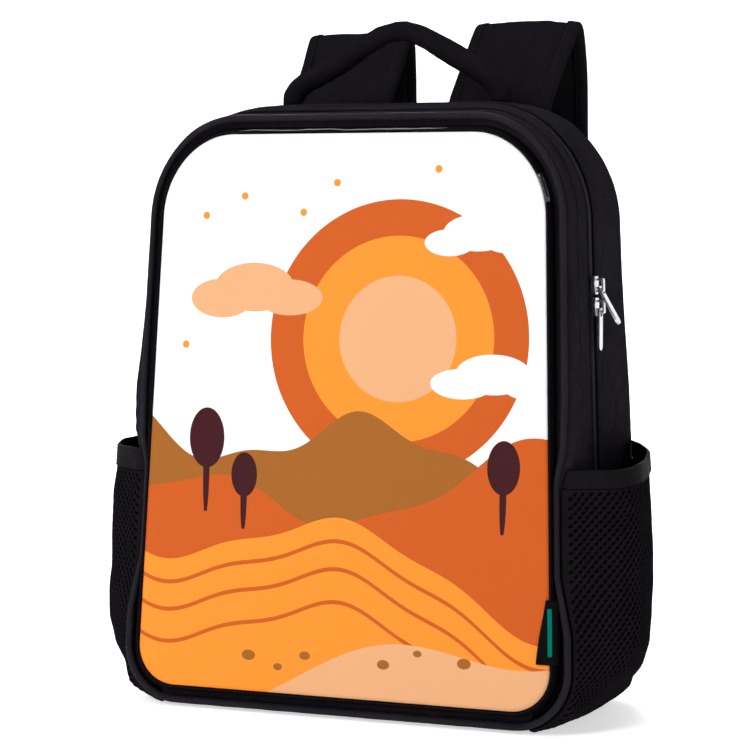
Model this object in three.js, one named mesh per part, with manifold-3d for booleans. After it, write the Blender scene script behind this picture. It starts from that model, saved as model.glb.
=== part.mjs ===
// A small upright backpack, in millimetres. +X is the side with the zipper sliders, -Y is the printed
// front, +Z is up, and the origin is on the floor under the middle of the bag.
import * as THREE from 'three';
import Module from 'manifold-3d';
import { mergeVertices } from 'three/addons/utils/BufferGeometryUtils.js';

const wasm = await Module();
wasm.setup();

// Driving dimensions of the body
const bodyHeight = 376;
const bodyDepth = 140;
const frontLean = 0.065;
const rearLean = 0.034;
const panelHalfWidth = 137;
const sideTaper = 0.099;
const panelInsetTop = 20;
const panelInsetBottom = 14;
const panelCorner = 50;
const panelBaseCorner = 32;
const panelThickness = 3;
const backPadding = 9;
const seamGap = 0.3;

// Edge of the front: border strip, piping and the gusset behind them
const borderReach = 4.2;
const borderDepth = 7;
const borderCloth = 2.6;
const pipingDiameter = 5;
const pipingSides = 10;
const pipingReach = 9.9;
const pipingDepth = 4.5;
const seamPinch = 2.6;
const gussetReach = 13;
const gussetCloth = 3;
const crownRise = 7;
const cornerGrowth = 10;
const lipRound = 1;
const rollDepth = 2.5;
const rollLength = 6;
const rollDip = 0.7;
const zipDip = 0.4;
const rearTurn = 7;
const rearTurnDepth = 3.5;
const rearTurnShare = 0.93;

// Zipper
const zipperShare = 0.45;
const coilWidth = 5;
const coilThickness = 2.4;
const tapeWidth = 3.6;
const tapeThickness = 1.4;
const sliderHeight = 264;
const sliderSpacing = 13;
const sliderLength = 11;
const sliderWidth = 8;
const sliderThickness = 2.8;
const bridgeSpace = 3.4;
const bridgeLength = 5.6;
const bridgeWire = 1.3;
const bridgeWidth = 3;
const bridgeChamfer = 0.6;
const pullLength = 25;
const pullWidth = 6;
const pullThickness = 1.6;
const pullBar = 1.3;
const pullSlot = 4.4;

// Side pockets
const pocketSwell = 30.6;
const pocketPeak = 0.34;
const pocketCloth = 2;
const pocketClearance = 0.6;
const pocketSetback = 1.2;
const hemHeight = 11;
const hemCloth = 2.6;
const hemTop = 161;

// Carry handle
const handleSpan = 143;
const handleRise = 45;
const handleDiameter = 14;
const handleSides = 10;
const handleShare = 0.67;

// Shoulder straps, their buckles and lower webbing
const strapWidth = 66;
const strapThickness = 9;
const strapReach = 62;
const strapSpread = 0.4234 * panelHalfWidth;
const buckleLength = 22;
const buckleWidth = 36;
const buckleThickness = 4;
const buckleCorner = 3;
const webbingWidth = 25;
const webbingThickness = 1.8;
const tabWidth = 42;
const tabHeight = 38;
const tabThickness = 3;
const tabFoot = 20;
const tabCentre = 0.8175 * panelHalfWidth;

// Side label, held in the groove of the front seam and folded over the panel's edge
const labelHeight = 38;
const labelFoot = 43;
const labelThickness = 0.9;
const labelReachFoot = 8;
const labelReachTop = 1.5;

const panelTop = bodyHeight - panelInsetTop;
const panelBottom = panelInsetBottom;
const hemFoot = hemTop - hemHeight;

// Segments along the outline
const baseCornerSteps = 6;
const topCornerSteps = 9;
const pocketHeights = [0.16, 0.2, 0.27, 0.35].map((share) => share * bodyHeight);
const upperHeights = [0.475, 0.53, 0.62, 0.7].map((share) => share * bodyHeight);
const sideHeights = [...pocketHeights, hemFoot - seamGap, hemFoot, hemTop, ...upperHeights];
const topStops = [0.66, 0.33, 0];

const black = { fabric: 0x1b1a1f, trim: 0x232228, mesh: 0x222126, foam: 0x1f1e23 };

function frontPlane(z) {
  return -bodyDepth / 2 + frontLean * z;
}

function rearPlane(z) {
  return bodyDepth / 2 - rearLean * z;
}

function depthAt(z) {
  return rearPlane(z) - frontPlane(z);
}

function smooth(t) {
  const s = Math.min(Math.max(t, 0), 1);
  return s * s * (3 - 2 * s);
}

// A place in a table of rows, read between them by the first column
function readTable(rows, key, value, at) {
  if (at <= rows[0][key]) return rows[0][value];
  for (let i = 1; i < rows.length; i += 1) {
    if (at <= rows[i][key]) {
      const t = (at - rows[i - 1][key]) / (rows[i][key] - rows[i - 1][key]);
      return rows[i - 1][value] + t * (rows[i][value] - rows[i - 1][value]);
    }
  }
  return rows[rows.length - 1][value];
}

// A closed solid from its vertices and triangles, faces turned outwards
function solid(points, triangles) {
  let volume = 0;
  const [a, b, c] = [new THREE.Vector3(), new THREE.Vector3(), new THREE.Vector3()];
  for (const [i, j, k] of triangles) {
    volume += a.fromArray(points[i]).dot(b.fromArray(points[j]).cross(c.fromArray(points[k])));
  }
  const faces = volume < 0 ? triangles.map(([i, j, k]) => [i, k, j]) : triangles;
  const geometry = new THREE.BufferGeometry();
  geometry.setAttribute('position', new THREE.Float32BufferAttribute(points.flat(), 3));
  geometry.setIndex(faces.flat());
  geometry.computeVertexNormals();
  return geometry;
}

// Skins a row of sections, each a ring of as many points. Open rows are capped by the flat profile.
function loft(sections, profile) {
  const count = sections[0].length;
  const rows = sections.length;
  const points = sections.flat();
  const triangles = [];
  for (let s = 0; s < (profile ? rows - 1 : rows); s += 1) {
    const next = (s + 1) % rows;
    for (let i = 0; i < count; i += 1) {
      const j = (i + 1) % count;
      triangles.push([s * count + i, s * count + j, next * count + j]);
      triangles.push([s * count + i, next * count + j, next * count + i]);
    }
  }
  if (profile) {
    const contour = profile.map(([x, y]) => new THREE.Vector2(x, y));
    const turned = THREE.ShapeUtils.isClockWise(contour);
    const order = turned ? contour.map((_, i) => count - 1 - i) : contour.map((_, i) => i);
    const cap = THREE.ShapeUtils.triangulateShape(order.map((i) => contour[i]), []);
    const last = (rows - 1) * count;
    for (const [i, j, k] of cap) {
      const face = turned ? [order[i], order[j], order[k]] : [order[i], order[k], order[j]];
      triangles.push(face);
      triangles.push([last + face[0], last + face[2], last + face[1]]);
    }
  }
  return solid(points, triangles);
}

// How much a layer behind the front seam has risen to the full crown and grown round corners
function swellAt(depth) {
  return smooth((depth - borderDepth) / (0.3 * bodyDepth));
}

// The pockets' pull on the front seam, which draws the piping in beside them
const pinchRows = [
  { height: 0.16, pull: 0 },
  { height: 0.25, pull: 1 },
  { height: 0.41, pull: 1 },
  { height: 0.475, pull: 0.45 },
  { height: 0.53, pull: 0 },
];

function pinchAt(depth, out, z) {
  const reach = smooth((out - borderReach) / (pipingReach - borderReach));
  const fade = 1 - smooth((depth - borderDepth) / (2.5 * borderDepth));
  return seamPinch * reach * fade * readTable(pinchRows, 'height', 'pull', z / bodyHeight);
}

// The outline at a depth behind the front plane, a distance out from the printed panel's edge
function outline(depthOf, out) {
  const places = [];
  const add = (x, z) => {
    const width = 1 - sideTaper * (z / bodyHeight);
    places.push([x * width, z]);
  };
  const swell = swellAt(depthOf(bodyHeight));
  const settle = (gussetReach - panelInsetBottom) * swellAt(depthOf(0));
  const half = panelHalfWidth + out;
  const top = panelTop + crownRise * swell + out;
  const corner = panelCorner + cornerGrowth * swell + out;
  const bottom = panelBottom + settle - out;
  const baseCorner = panelBaseCorner + out;
  add(0, bottom);
  add((half - baseCorner) / 2, bottom);
  for (let i = 0; i <= baseCornerSteps; i += 1) {
    const a = -Math.PI / 2 + (Math.PI / 2) * (i / baseCornerSteps);
    add(half - baseCorner + baseCorner * Math.cos(a), bottom + baseCorner + baseCorner * Math.sin(a));
  }
  for (const z of sideHeights) add(half - pinchAt(depthOf(z), out, z), z);
  for (let i = 0; i <= topCornerSteps; i += 1) {
    const a = (Math.PI / 2) * (i / topCornerSteps);
    add(half - corner + corner * Math.cos(a), top - corner + corner * Math.sin(a));
  }
  for (const share of topStops) add((half - corner) * share, top);
  const mirrored = places.slice(1, -1).reverse().map(([x, z]) => [-x, z]);
  return places.concat(mirrored).map(([x, z]) => [x, frontPlane(z) + depthOf(z), z]);
}

// Where the stations are counted from
const firstSide = 2 + baseCornerSteps + 1;
const archStart = firstSide + sideHeights.indexOf(hemFoot);
const baseStart = archStart - 1;
const hemEnd = firstSide + sideHeights.indexOf(hemTop);
const stationCount = outline(() => 0, 0).length;

// A point of an edge profile: so far behind the front, by a share of the depth and a distance, and out
function layer([share, offset, out]) {
  return outline((z) => share * depthAt(z) + offset, out);
}

// An edge profile run round the outline, all the way or between two stations
function edgeRun(profile, from, to) {
  const layers = profile.map(layer);
  const stations = [];
  const total = from === undefined ? stationCount : (to - from + stationCount) % stationCount + 1;
  for (let i = 0; i < total; i += 1) {
    const at = ((from ?? 0) + i) % stationCount;
    stations.push(layers.map((points) => points[at]));
  }
  const flat = profile.map(([share, offset, out]) => [share * bodyDepth + offset, out]);
  return loft(stations, from === undefined ? null : flat);
}

function plate(near, far) {
  const [a, b] = [layer(near), layer(far)];
  return loft([a, b], a.map(([x, , z]) => [x, z]));
}

function circleProfile(share, offset, out, diameter, sides) {
  const ring = [];
  for (let i = 0; i < sides; i += 1) {
    const a = (2 * Math.PI * i) / sides;
    ring.push([share, offset + (diameter / 2) * Math.cos(a), out + (diameter / 2) * Math.sin(a)]);
  }
  return ring;
}

const group = new THREE.Group();

function addPiece(name, geometry, color, options = {}) {
  const material = new THREE.MeshStandardMaterial({
    color,
    roughness: options.roughness ?? 0.8,
    metalness: options.metalness ?? 0,
  });
  const mesh = new THREE.Mesh(geometry, material);
  mesh.name = name;
  (options.parent ?? group).add(mesh);
  return mesh;
}

// Front panel with its border strip and piping
addPiece('front_panel', plate([0, 0, 0], [0, panelThickness, 0]), 0xf6f6f4, { roughness: 0.35 });

const borderProfile = [
  [0, 0.2, seamGap],
  [0, 0, 0.3 * borderReach],
  [0, 0.6, 0.7 * borderReach],
  [0, 2.4, 0.94 * borderReach],
  [0, 0.65 * borderDepth, borderReach],
  [0, borderDepth, borderReach],
  [0, borderDepth, borderReach - borderCloth],
  [0, panelThickness, borderReach - borderCloth],
  [0, panelThickness, seamGap],
];
addPiece('front_border', edgeRun(borderProfile), black.trim, { roughness: 0.45 });

const pipingProfile = circleProfile(0, pipingDepth, pipingReach, pipingDiameter, pipingSides);
addPiece('front_piping', edgeRun(pipingProfile), black.trim, { roughness: 0.5 });

// Gusset: an arch before the zipper, one behind it, and one base strip below them
const seamDepth = borderDepth + seamGap;
const lipReach = borderReach - borderCloth;
const innerReach = gussetReach - gussetCloth;
const tapeEdge = coilWidth / 2 + seamGap + tapeWidth;
const lipInner = [0, seamDepth + gussetCloth, innerReach - rollDip];
const frontLip = [
  [0, seamDepth + gussetCloth, lipReach],
  [0, seamDepth, lipReach],
  [0, seamDepth, gussetReach - lipRound],
  [0, seamDepth + rollDepth, gussetReach],
  [0, seamDepth + rollLength, gussetReach - rollDip],
];
const turnedReach = gussetReach - rearTurn;
const backTurn = [
  [rearTurnShare, 0, gussetReach],
  [1, -rearTurnDepth, gussetReach - gussetCloth],
  [1, 0, turnedReach],
  [1, 0, turnedReach - gussetCloth],
  [1, -gussetCloth, turnedReach - gussetCloth],
  [1, -rearTurnDepth - gussetCloth, turnedReach - 0.3 * gussetCloth],
  [rearTurnShare, -gussetCloth / 2, innerReach],
];
const gussetFrontProfile = [
  ...frontLip,
  [0.2, 0, gussetReach],
  [0.33, 0, gussetReach],
  [zipperShare, -tapeEdge - seamGap, gussetReach - zipDip],
  [zipperShare, -tapeEdge - seamGap, innerReach],
  [0.33, 0, innerReach],
  [0.2, 0, innerReach],
  lipInner,
];
const gussetRearProfile = [
  [zipperShare, tapeEdge + seamGap, innerReach],
  [zipperShare, tapeEdge + seamGap, gussetReach - zipDip],
  [0.6, 0, gussetReach],
  [0.78, 0, gussetReach],
  ...backTurn,
  [0.78, 0, innerReach],
  [0.6, 0, innerReach],
];
const gussetBaseProfile = [
  ...frontLip,
  [0.2, 0, gussetReach],
  [0.4, 0, gussetReach],
  [0.6, 0, gussetReach],
  [0.78, 0, gussetReach],
  ...backTurn,
  [0.78, 0, innerReach],
  [0.6, 0, innerReach],
  [0.4, 0, innerReach],
  [0.2, 0, innerReach],
  lipInner,
];
const archEnd = stationCount - archStart;
addPiece('gusset_front', edgeRun(gussetFrontProfile, archStart, archEnd), black.fabric);
addPiece('gusset_rear', edgeRun(gussetRearProfile, archStart, archEnd), black.fabric);
addPiece('gusset_base', edgeRun(gussetBaseProfile, stationCount - baseStart, baseStart), black.fabric);

// Back panel, a padded plate set inside the turned edge of the gusset
const backReach = turnedReach - gussetCloth - seamGap;
addPiece('back_panel', plate([1, -backPadding, backReach], [1, 0, backReach]), black.foam);

// Zipper: two tapes and the coil between them
function strip(share, offset, width, out, thickness) {
  return [
    [share, offset, out],
    [share, offset + width, out],
    [share, offset + width, out - thickness],
    [share, offset, out - thickness],
  ];
}
const tapeReach = gussetReach - 1.2;
const coilReach = gussetReach - 0.6;
const frontTape = strip(zipperShare, -tapeEdge, tapeWidth, tapeReach, tapeThickness);
const rearTape = strip(zipperShare, coilWidth / 2 + seamGap, tapeWidth, tapeReach, tapeThickness);
const coil = strip(zipperShare, -coilWidth / 2, coilWidth, coilReach, coilThickness);
addPiece('zipper_tape_front', edgeRun(frontTape, archStart, archEnd), black.fabric);
addPiece('zipper_tape_rear', edgeRun(rearTape, archStart, archEnd), black.fabric);
addPiece('zipper_coil', edgeRun(coil, archStart, archEnd), black.trim, { roughness: 0.4 });

// Side pockets: a mesh wall that swells out from the front and rear seams, and its ribbed hem
const pocketRows = [
  { height: 0, fill: 0, swell: 0 },
  { height: 0.014, fill: 0.2, swell: 0.02 },
  { height: 0.032, fill: 0.8, swell: 0.16 },
  { height: 0.058, fill: 1, swell: 0.42 },
  { height: 0.09, fill: 1, swell: 0.72 },
  { height: 0.128, fill: 1, swell: 0.9 },
  { height: 0.17, fill: 1, swell: 0.98 },
  { height: 0.27, fill: 1, swell: 1.03 },
  { height: 0.35, fill: 1, swell: 1.02 },
  { height: 0.43, fill: 1, swell: 0.95 },
];
const pocketStops = [0, 0.02, 0.08, 0.16, 0.25, 0.36, 0.5, 0.65, 0.8, 0.93, 0.98, 1];
const pocketFront = seamDepth + pocketSetback;
const pocketRear = 0.92;
const pocketFirst = firstSide - baseCornerSteps;

// The bow of the wall across its depth, with its peak before the middle
function bowAt(stop) {
  const t = stop < pocketPeak ? stop / pocketPeak : (1 - stop) / (1 - pocketPeak);
  return t * (2 - t);
}

// One row of the wall at an outline station, as far out as its cloth
function pocketRow(station, cloth, side) {
  const base = gussetReach + pocketClearance;
  return pocketStops.map((stop) => {
    const place = layer([pocketRear * stop, pocketFront * (1 - stop), base])[station];
    const height = place[2] / bodyHeight;
    const line = (panelHalfWidth + base) * (1 - sideTaper * height);
    const held = stop === 0 || stop === 1;
    const room = held ? 0 : Math.max(line - place[0] - seamPinch, 0);
    const swell = pocketSwell * readTable(pocketRows, 'height', 'swell', height);
    const bow = swell * bowAt(stop);
    const fill = room * readTable(pocketRows, 'height', 'fill', height);
    return [side * (place[0] + fill + bow + cloth), place[1], place[2]];
  });
}

function pocketWall(from, to, cloth, side) {
  const sections = [];
  for (let station = from; station <= to; station += 1) {
    const outer = pocketRow(station, cloth, side);
    sections.push(outer.concat(pocketRow(station, 0, side).reverse()));
  }
  return loft(sections, sections[sections.length - 1].map(([x, y]) => [x, y]));
}

for (const [name, side] of [['right', 1], ['left', -1]]) {
  const mesh = pocketWall(pocketFirst, baseStart, pocketCloth, side);
  addPiece(`pocket_mesh_${name}`, mesh, black.mesh, { roughness: 0.9 });
  const hem = pocketWall(archStart, hemEnd, hemCloth, side);
  addPiece(`pocket_hem_${name}`, hem, black.trim);
}

// A padded or flat band swept through a row of places, its width kept along X
function band(places, width, thickness, edge) {
  const profile = [
    [0.5, -0.5 + edge], [0.5, 0.5 - edge], [0.5 - edge * 0.3, 0.5],
    [-0.5 + edge * 0.3, 0.5], [-0.5, 0.5 - edge], [-0.5, -0.5 + edge],
    [-0.5 + edge * 0.3, -0.5], [0.5 - edge * 0.3, -0.5],
  ];
  const sections = places.map((place, i) => {
    const before = places[Math.max(i - 1, 0)];
    const after = places[Math.min(i + 1, places.length - 1)];
    const along = new THREE.Vector2(after.y - before.y, after.z - before.z).normalize();
    return profile.map(([u, v]) => {
      const lift = v * thickness;
      return [place.x + u * width * (place.width ?? 1), place.y - along.y * lift, place.z + along.x * lift];
    });
  });
  return loft(sections, profile.map(([u, v]) => [u * width, v * thickness]));
}

// Shoulder strap centre line: heights by the body's height, the rest by the strap's own sizes
const strapRows = [
  { height: 0.905, reach: 0, spread: 0.93, width: 1 },
  { height: 0.955, reach: 0, spread: 0.93, width: 1 },
  { height: 1, reach: 0.07, spread: 0.94, width: 1 },
  { height: 1.035, reach: 0.25, spread: 0.95, width: 1 },
  { height: 1.08, reach: 0.5, spread: 0.97, width: 1.01 },
  { height: 1.118, reach: 0.7, spread: 0.99, width: 1.02 },
  { height: 1.133, reach: 0.8, spread: 1, width: 1.02 },
  { height: 1.127, reach: 0.885, spread: 1, width: 1.02 },
  { height: 1.095, reach: 0.945, spread: 1.01, width: 1.01 },
  { height: 1.04, reach: 0.99, spread: 1.02, width: 1 },
  { height: 0.93, reach: 1.01, spread: 1.04, width: 1 },
  { height: 0.8, reach: 0.96, spread: 1.09, width: 0.98 },
  { height: 0.68, reach: 0.83, spread: 1.17, width: 0.92 },
  { height: 0.58, reach: 0.65, spread: 1.27, width: 0.8 },
  { height: 0.51, reach: 0.49, spread: 1.37, width: 0.66 },
];

function strapPlace(row, side) {
  const z = row.height * bodyHeight;
  const contact = seamGap + strapThickness / 2;
  const y = rearPlane(z) + contact + row.reach * strapReach;
  return { x: side * row.spread * strapSpread, y, z, width: row.width };
}

// Buckle, webbing and corner tab below each strap, laid out along the line from strap to tab
const webbingSag = 7;

function lowerLine(side) {
  const end = strapPlace(strapRows[strapRows.length - 1], side);
  const before = strapPlace(strapRows[strapRows.length - 2], side);
  const from = new THREE.Vector3(end.x, end.y, end.z);
  const run = new THREE.Vector3(0, end.y - before.y, end.z - before.z).normalize();
  const footZ = tabFoot + tabHeight * 0.35;
  const footY = rearPlane(footZ) + seamGap * 2 + tabThickness + webbingThickness / 2;
  return { from, run, foot: new THREE.Vector3(side * tabCentre, footY, footZ) };
}

function buckle(line) {
  const shape = new THREE.Shape();
  const [w, h, cut] = [buckleWidth / 2, buckleLength, buckleCorner];
  shape.moveTo(-w + cut, 0).lineTo(w - cut, 0).lineTo(w, cut).lineTo(w, h - cut).lineTo(w - cut, h);
  shape.lineTo(-w + cut, h).lineTo(-w, h - cut).lineTo(-w, cut).closePath();
  const geometry = new THREE.ExtrudeGeometry(shape, { depth: buckleThickness, bevelEnabled: false });
  geometry.translate(0, 0, -buckleThickness / 2);
  const across = new THREE.Vector3(1, 0, 0);
  const up = across.clone().cross(line.run);
  const start = line.from.clone().addScaledVector(line.run, seamGap);
  const matrix = new THREE.Matrix4().makeBasis(across, line.run, up).setPosition(start);
  return geometry.applyMatrix4(matrix);
}

function webbing(line) {
  const start = line.from.clone().addScaledVector(line.run, buckleLength + seamGap * 2);
  const places = [];
  const steps = 8;
  for (let i = 0; i <= steps; i += 1) {
    const t = i / steps;
    const place = start.clone().lerp(line.foot, t);
    place.addScaledVector(line.run, webbingSag * Math.sin(Math.PI * t) * (1 - t));
    places.push({ x: place.x, y: place.y, z: place.z });
  }
  const drop = 0.3 * tabHeight;
  places.push({ x: line.foot.x, y: line.foot.y + rearLean * drop, z: line.foot.z - drop });
  return band(places, webbingWidth, webbingThickness, 0.2);
}

function cornerTab(side) {
  const near = (x, z) => [side * x, rearPlane(z) + seamGap, z];
  const far = (x, z) => [side * x, rearPlane(z) + seamGap + tabThickness, z];
  const corners = [
    [tabCentre - tabWidth / 2, tabFoot],
    [tabCentre + tabWidth / 2, tabFoot],
    [tabCentre + tabWidth / 2, tabFoot + tabHeight * 0.45],
    [tabCentre + webbingWidth * 0.45, tabFoot + tabHeight],
    [tabCentre - webbingWidth * 0.55, tabFoot + tabHeight],
  ];
  const sections = [corners.map(([x, z]) => near(x, z)), corners.map(([x, z]) => far(x, z))];
  return loft(sections, corners);
}

for (const [name, side] of [['right', 1], ['left', -1]]) {
  const places = strapRows.map((row) => strapPlace(row, side));
  addPiece(`strap_${name}`, band(places, strapWidth, strapThickness, 0.28), black.fabric);
  const line = lowerLine(side);
  addPiece(`strap_buckle_${name}`, buckle(line), 0x18181a, { roughness: 0.35 });
  addPiece(`strap_webbing_${name}`, webbing(line), black.trim);
  addPiece(`corner_tab_${name}`, cornerTab(side), black.fabric);
}

// Carry handle: a padded tube that rises from both ends into a low peak
const handleRows = [
  { across: 1, up: 0 },
  { across: 0.985, up: 0.24 },
  { across: 0.9, up: 0.4 },
  { across: 0.75, up: 0.53 },
  { across: 0.58, up: 0.65 },
  { across: 0.42, up: 0.77 },
  { across: 0.27, up: 0.89 },
  { across: 0.13, up: 0.97 },
  { across: 0, up: 1 },
];

function handleTube() {
  const half = handleRows.map((row) => [row.across, row.up]);
  const rows = half.concat(half.slice(0, -1).reverse().map(([across, up]) => [-across, up]));
  const foot = crownAt(handleSpan / 2) + seamGap;
  const y = frontPlane(bodyHeight) + handleShare * depthAt(bodyHeight);
  const places = rows.map(([across, up]) => [across * handleSpan / 2, foot + up * handleRise]);
  const sections = places.map(([x, z], i) => {
    const before = places[Math.max(i - 1, 0)];
    const after = places[Math.min(i + 1, places.length - 1)];
    const along = new THREE.Vector2(after[0] - before[0], after[1] - before[1]).normalize();
    if (i === 0) along.set(0, 1);
    if (i === places.length - 1) along.set(0, -1);
    const ring = [];
    for (let k = 0; k < handleSides; k += 1) {
      const a = (2 * Math.PI * k) / handleSides;
      const lift = (handleDiameter / 2) * Math.cos(a);
      ring.push([x - along.y * lift, y + (handleDiameter / 2) * Math.sin(a), z + along.x * lift]);
    }
    return ring;
  });
  return loft(sections, sections[0].map(([x, py]) => [x, py]));
}

// Height of the gusset's crown at a distance across
function crownAt(x) {
  const places = layer([handleShare, 0, gussetReach]);
  const rows = places.filter((p) => p[0] >= 0 && p[2] > bodyHeight / 2).sort((p, q) => p[0] - q[0]);
  return readTable(rows.map((p) => ({ x: p[0], z: p[2] })), 'x', 'z', x - handleDiameter / 2);
}
addPiece('carry_handle', handleTube(), black.fabric);

// Zipper sliders: a plate on the coil with an arched bridge, and a flat pull that hangs from it
function manifoldOf(geometry) {
  const bare = geometry.clone();
  bare.deleteAttribute('normal');
  bare.deleteAttribute('uv');
  const merged = mergeVertices(bare, 1e-4);
  const vertProperties = Float32Array.from(merged.attributes.position.array);
  const triVerts = Uint32Array.from(merged.index.array);
  return new wasm.Manifold(new wasm.Mesh({ numProp: 3, vertProperties, triVerts }));
}

function geometryOf(manifold) {
  const mesh = manifold.getMesh();
  const geometry = new THREE.BufferGeometry();
  geometry.setAttribute('position', new THREE.BufferAttribute(Float32Array.from(mesh.vertProperties), 3));
  geometry.setIndex(Array.from(mesh.triVerts));
  geometry.computeVertexNormals();
  return geometry;
}

const axisX = new THREE.Vector3(1, 0, 0);
const axisY = new THREE.Vector3(0, 1, 0);
const axisZ = new THREE.Vector3(0, 0, 1);

// A flat shape drawn across Y and up Z, given its thickness along X from a start
function faceShape(shape, start, depth) {
  const geometry = new THREE.ExtrudeGeometry(shape, { depth, bevelEnabled: false, curveSegments: 5 });
  const matrix = new THREE.Matrix4().makeBasis(axisY, axisZ, axisX).setPosition(start, 0, 0);
  return geometry.applyMatrix4(matrix);
}

const sliderFace = seamGap + sliderThickness;
const bridgeFoot = bridgeLength / 2 + bridgeWire;
const bridgeTop = sliderFace + bridgeSpace + bridgeWire;
const barCorner = Math.hypot(pullBar / 2, pullThickness / 2);
const hingeOut = sliderFace + bridgeSpace / 2;
const hingeUp = -bridgeLength / 2 + barCorner + seamGap;

function sliderBody() {
  const [w, h] = [sliderWidth / 2, sliderLength / 2];
  const plan = new THREE.Shape();
  plan.moveTo(-w * 0.55, -h).lineTo(w * 0.55, -h).lineTo(w, h * 0.35).lineTo(w * 0.8, h);
  plan.lineTo(-w * 0.8, h).lineTo(-w, h * 0.35).closePath();
  const side = new THREE.Shape();
  const root = sliderFace - bridgeChamfer;
  side.moveTo(root, -bridgeFoot).lineTo(bridgeTop - bridgeChamfer, -bridgeFoot);
  side.lineTo(bridgeTop, -bridgeFoot + bridgeChamfer).lineTo(bridgeTop, bridgeFoot - bridgeChamfer);
  side.lineTo(bridgeTop - bridgeChamfer, bridgeFoot).lineTo(root, bridgeFoot).closePath();
  const eye = new THREE.Path();
  const half = bridgeLength / 2;
  eye.moveTo(sliderFace, -half).lineTo(sliderFace, half).lineTo(sliderFace + bridgeSpace, half);
  eye.lineTo(sliderFace + bridgeSpace, -half).closePath();
  side.holes.push(eye);
  const bridge = new THREE.ExtrudeGeometry(side, { depth: bridgeWidth, bevelEnabled: false });
  const turn = new THREE.Matrix4().makeBasis(axisX, axisZ, axisY.clone().negate());
  bridge.applyMatrix4(turn.setPosition(0, bridgeWidth / 2, 0));
  const plate = manifoldOf(faceShape(plan, seamGap, sliderThickness));
  return geometryOf(plate.add(manifoldOf(bridge)));
}

function pullTab() {
  const w = pullWidth / 2;
  const shape = new THREE.Shape();
  shape.moveTo(-w, pullBar / 2).lineTo(-w, -pullLength + w);
  shape.absarc(0, -pullLength + w, w, Math.PI, 2 * Math.PI, false);
  shape.lineTo(w, pullBar / 2).closePath();
  const slot = new THREE.Path();
  const side = bridgeWidth / 2 + seamGap;
  slot.moveTo(-side, -pullBar / 2).lineTo(side, -pullBar / 2).lineTo(side, -pullSlot);
  slot.lineTo(-side, -pullSlot).closePath();
  shape.holes.push(slot);
  return faceShape(shape, -pullThickness / 2, pullThickness);
}

// A place on the straight of the right side, a distance out from the panel's edge
function sidePlace(share, offset, out, z) {
  const x = (panelHalfWidth + out) * (1 - sideTaper * (z / bodyHeight));
  return new THREE.Vector3(x, frontPlane(z) + share * depthAt(z) + offset, z);
}

const sideLean = Math.atan(((panelHalfWidth + gussetReach) * sideTaper) / bodyHeight);

// The upper pull leans out until it rests on the corner of the lower slider's bridge
function proppedAngle() {
  const out = bridgeTop - hingeOut;
  const down = sliderSpacing - (bridgeFoot - bridgeChamfer) + hingeUp;
  return Math.atan2(out, down) + Math.asin((pullThickness / 2 + seamGap) / Math.hypot(out, down));
}

for (const [name, drop, hang] of [['upper', 0, proppedAngle() + sideLean], ['lower', sliderSpacing, 0]]) {
  const slider = new THREE.Group();
  slider.position.copy(sidePlace(zipperShare, 0, coilReach, sliderHeight - drop));
  slider.rotation.y = -sideLean;
  group.add(slider);
  const metal = { roughness: 0.3, metalness: 1, parent: slider };
  addPiece(`zipper_slider_${name}`, sliderBody(), 0xb9bbbf, metal);
  const pull = addPiece(`zipper_pull_${name}`, pullTab(), 0xb9bbbf, metal);
  pull.position.set(hingeOut, 0, hingeUp);
  pull.rotation.y = sideLean - hang;
}

// Side label, a folded tag that comes out of the groove and lies over the panel's edge
const labelPath = [
  { out: borderReach + 0.4, depth: 0.7 * borderDepth },
  { out: borderReach + 0.35, depth: 0.3 * borderDepth },
  { out: 0.8 * borderReach, depth: 0 },
  { out: 0.3 * borderReach, depth: -0.4 },
  { out: 0, depth: -0.45 },
];

const labelBend = 2;

function labelSection(z, reach) {
  const path = [...labelPath, { out: -reach, depth: -0.6 }];
  const inner = path.map(({ out, depth }) => sidePlace(0, depth, out, z).toArray());
  const outer = path.map(({ out, depth }, i) => {
    if (i < labelBend) return sidePlace(0, depth, out + labelThickness, z).toArray();
    const shift = i === labelBend ? 0.4 * labelThickness : 0;
    return sidePlace(0, depth - labelThickness, out + shift, z).toArray();
  });
  return inner.concat(outer.reverse());
}

const labelSections = [
  labelSection(labelFoot, labelReachFoot),
  labelSection(labelFoot + labelHeight / 2, 0.56 * labelReachFoot + 0.56 * labelReachTop),
  labelSection(labelFoot + labelHeight, labelReachTop),
];
const label = loft(labelSections, labelSections[0].map(([x, y]) => [x, y]));
addPiece('side_label', label, black.fabric);

export default group;
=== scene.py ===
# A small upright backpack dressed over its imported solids. Sizes are in millimetres and become metres
# when a mesh is made.
import math

import bmesh
import bpy
import numpy as np
from mathutils import Matrix, Vector


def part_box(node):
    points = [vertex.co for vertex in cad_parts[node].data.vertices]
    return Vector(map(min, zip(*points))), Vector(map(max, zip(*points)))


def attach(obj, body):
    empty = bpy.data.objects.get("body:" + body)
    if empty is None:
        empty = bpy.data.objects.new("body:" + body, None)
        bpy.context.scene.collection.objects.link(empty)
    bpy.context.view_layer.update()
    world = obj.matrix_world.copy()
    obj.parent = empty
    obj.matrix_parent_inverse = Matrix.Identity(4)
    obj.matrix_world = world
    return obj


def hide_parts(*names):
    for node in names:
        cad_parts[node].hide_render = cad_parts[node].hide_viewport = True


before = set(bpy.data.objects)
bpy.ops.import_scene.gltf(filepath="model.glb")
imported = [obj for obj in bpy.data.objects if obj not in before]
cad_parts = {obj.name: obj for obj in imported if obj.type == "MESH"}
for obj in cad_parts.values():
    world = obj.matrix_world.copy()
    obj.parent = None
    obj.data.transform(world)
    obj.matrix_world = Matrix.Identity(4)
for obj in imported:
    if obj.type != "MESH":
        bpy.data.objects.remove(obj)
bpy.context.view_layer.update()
MM = 0.001

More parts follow.
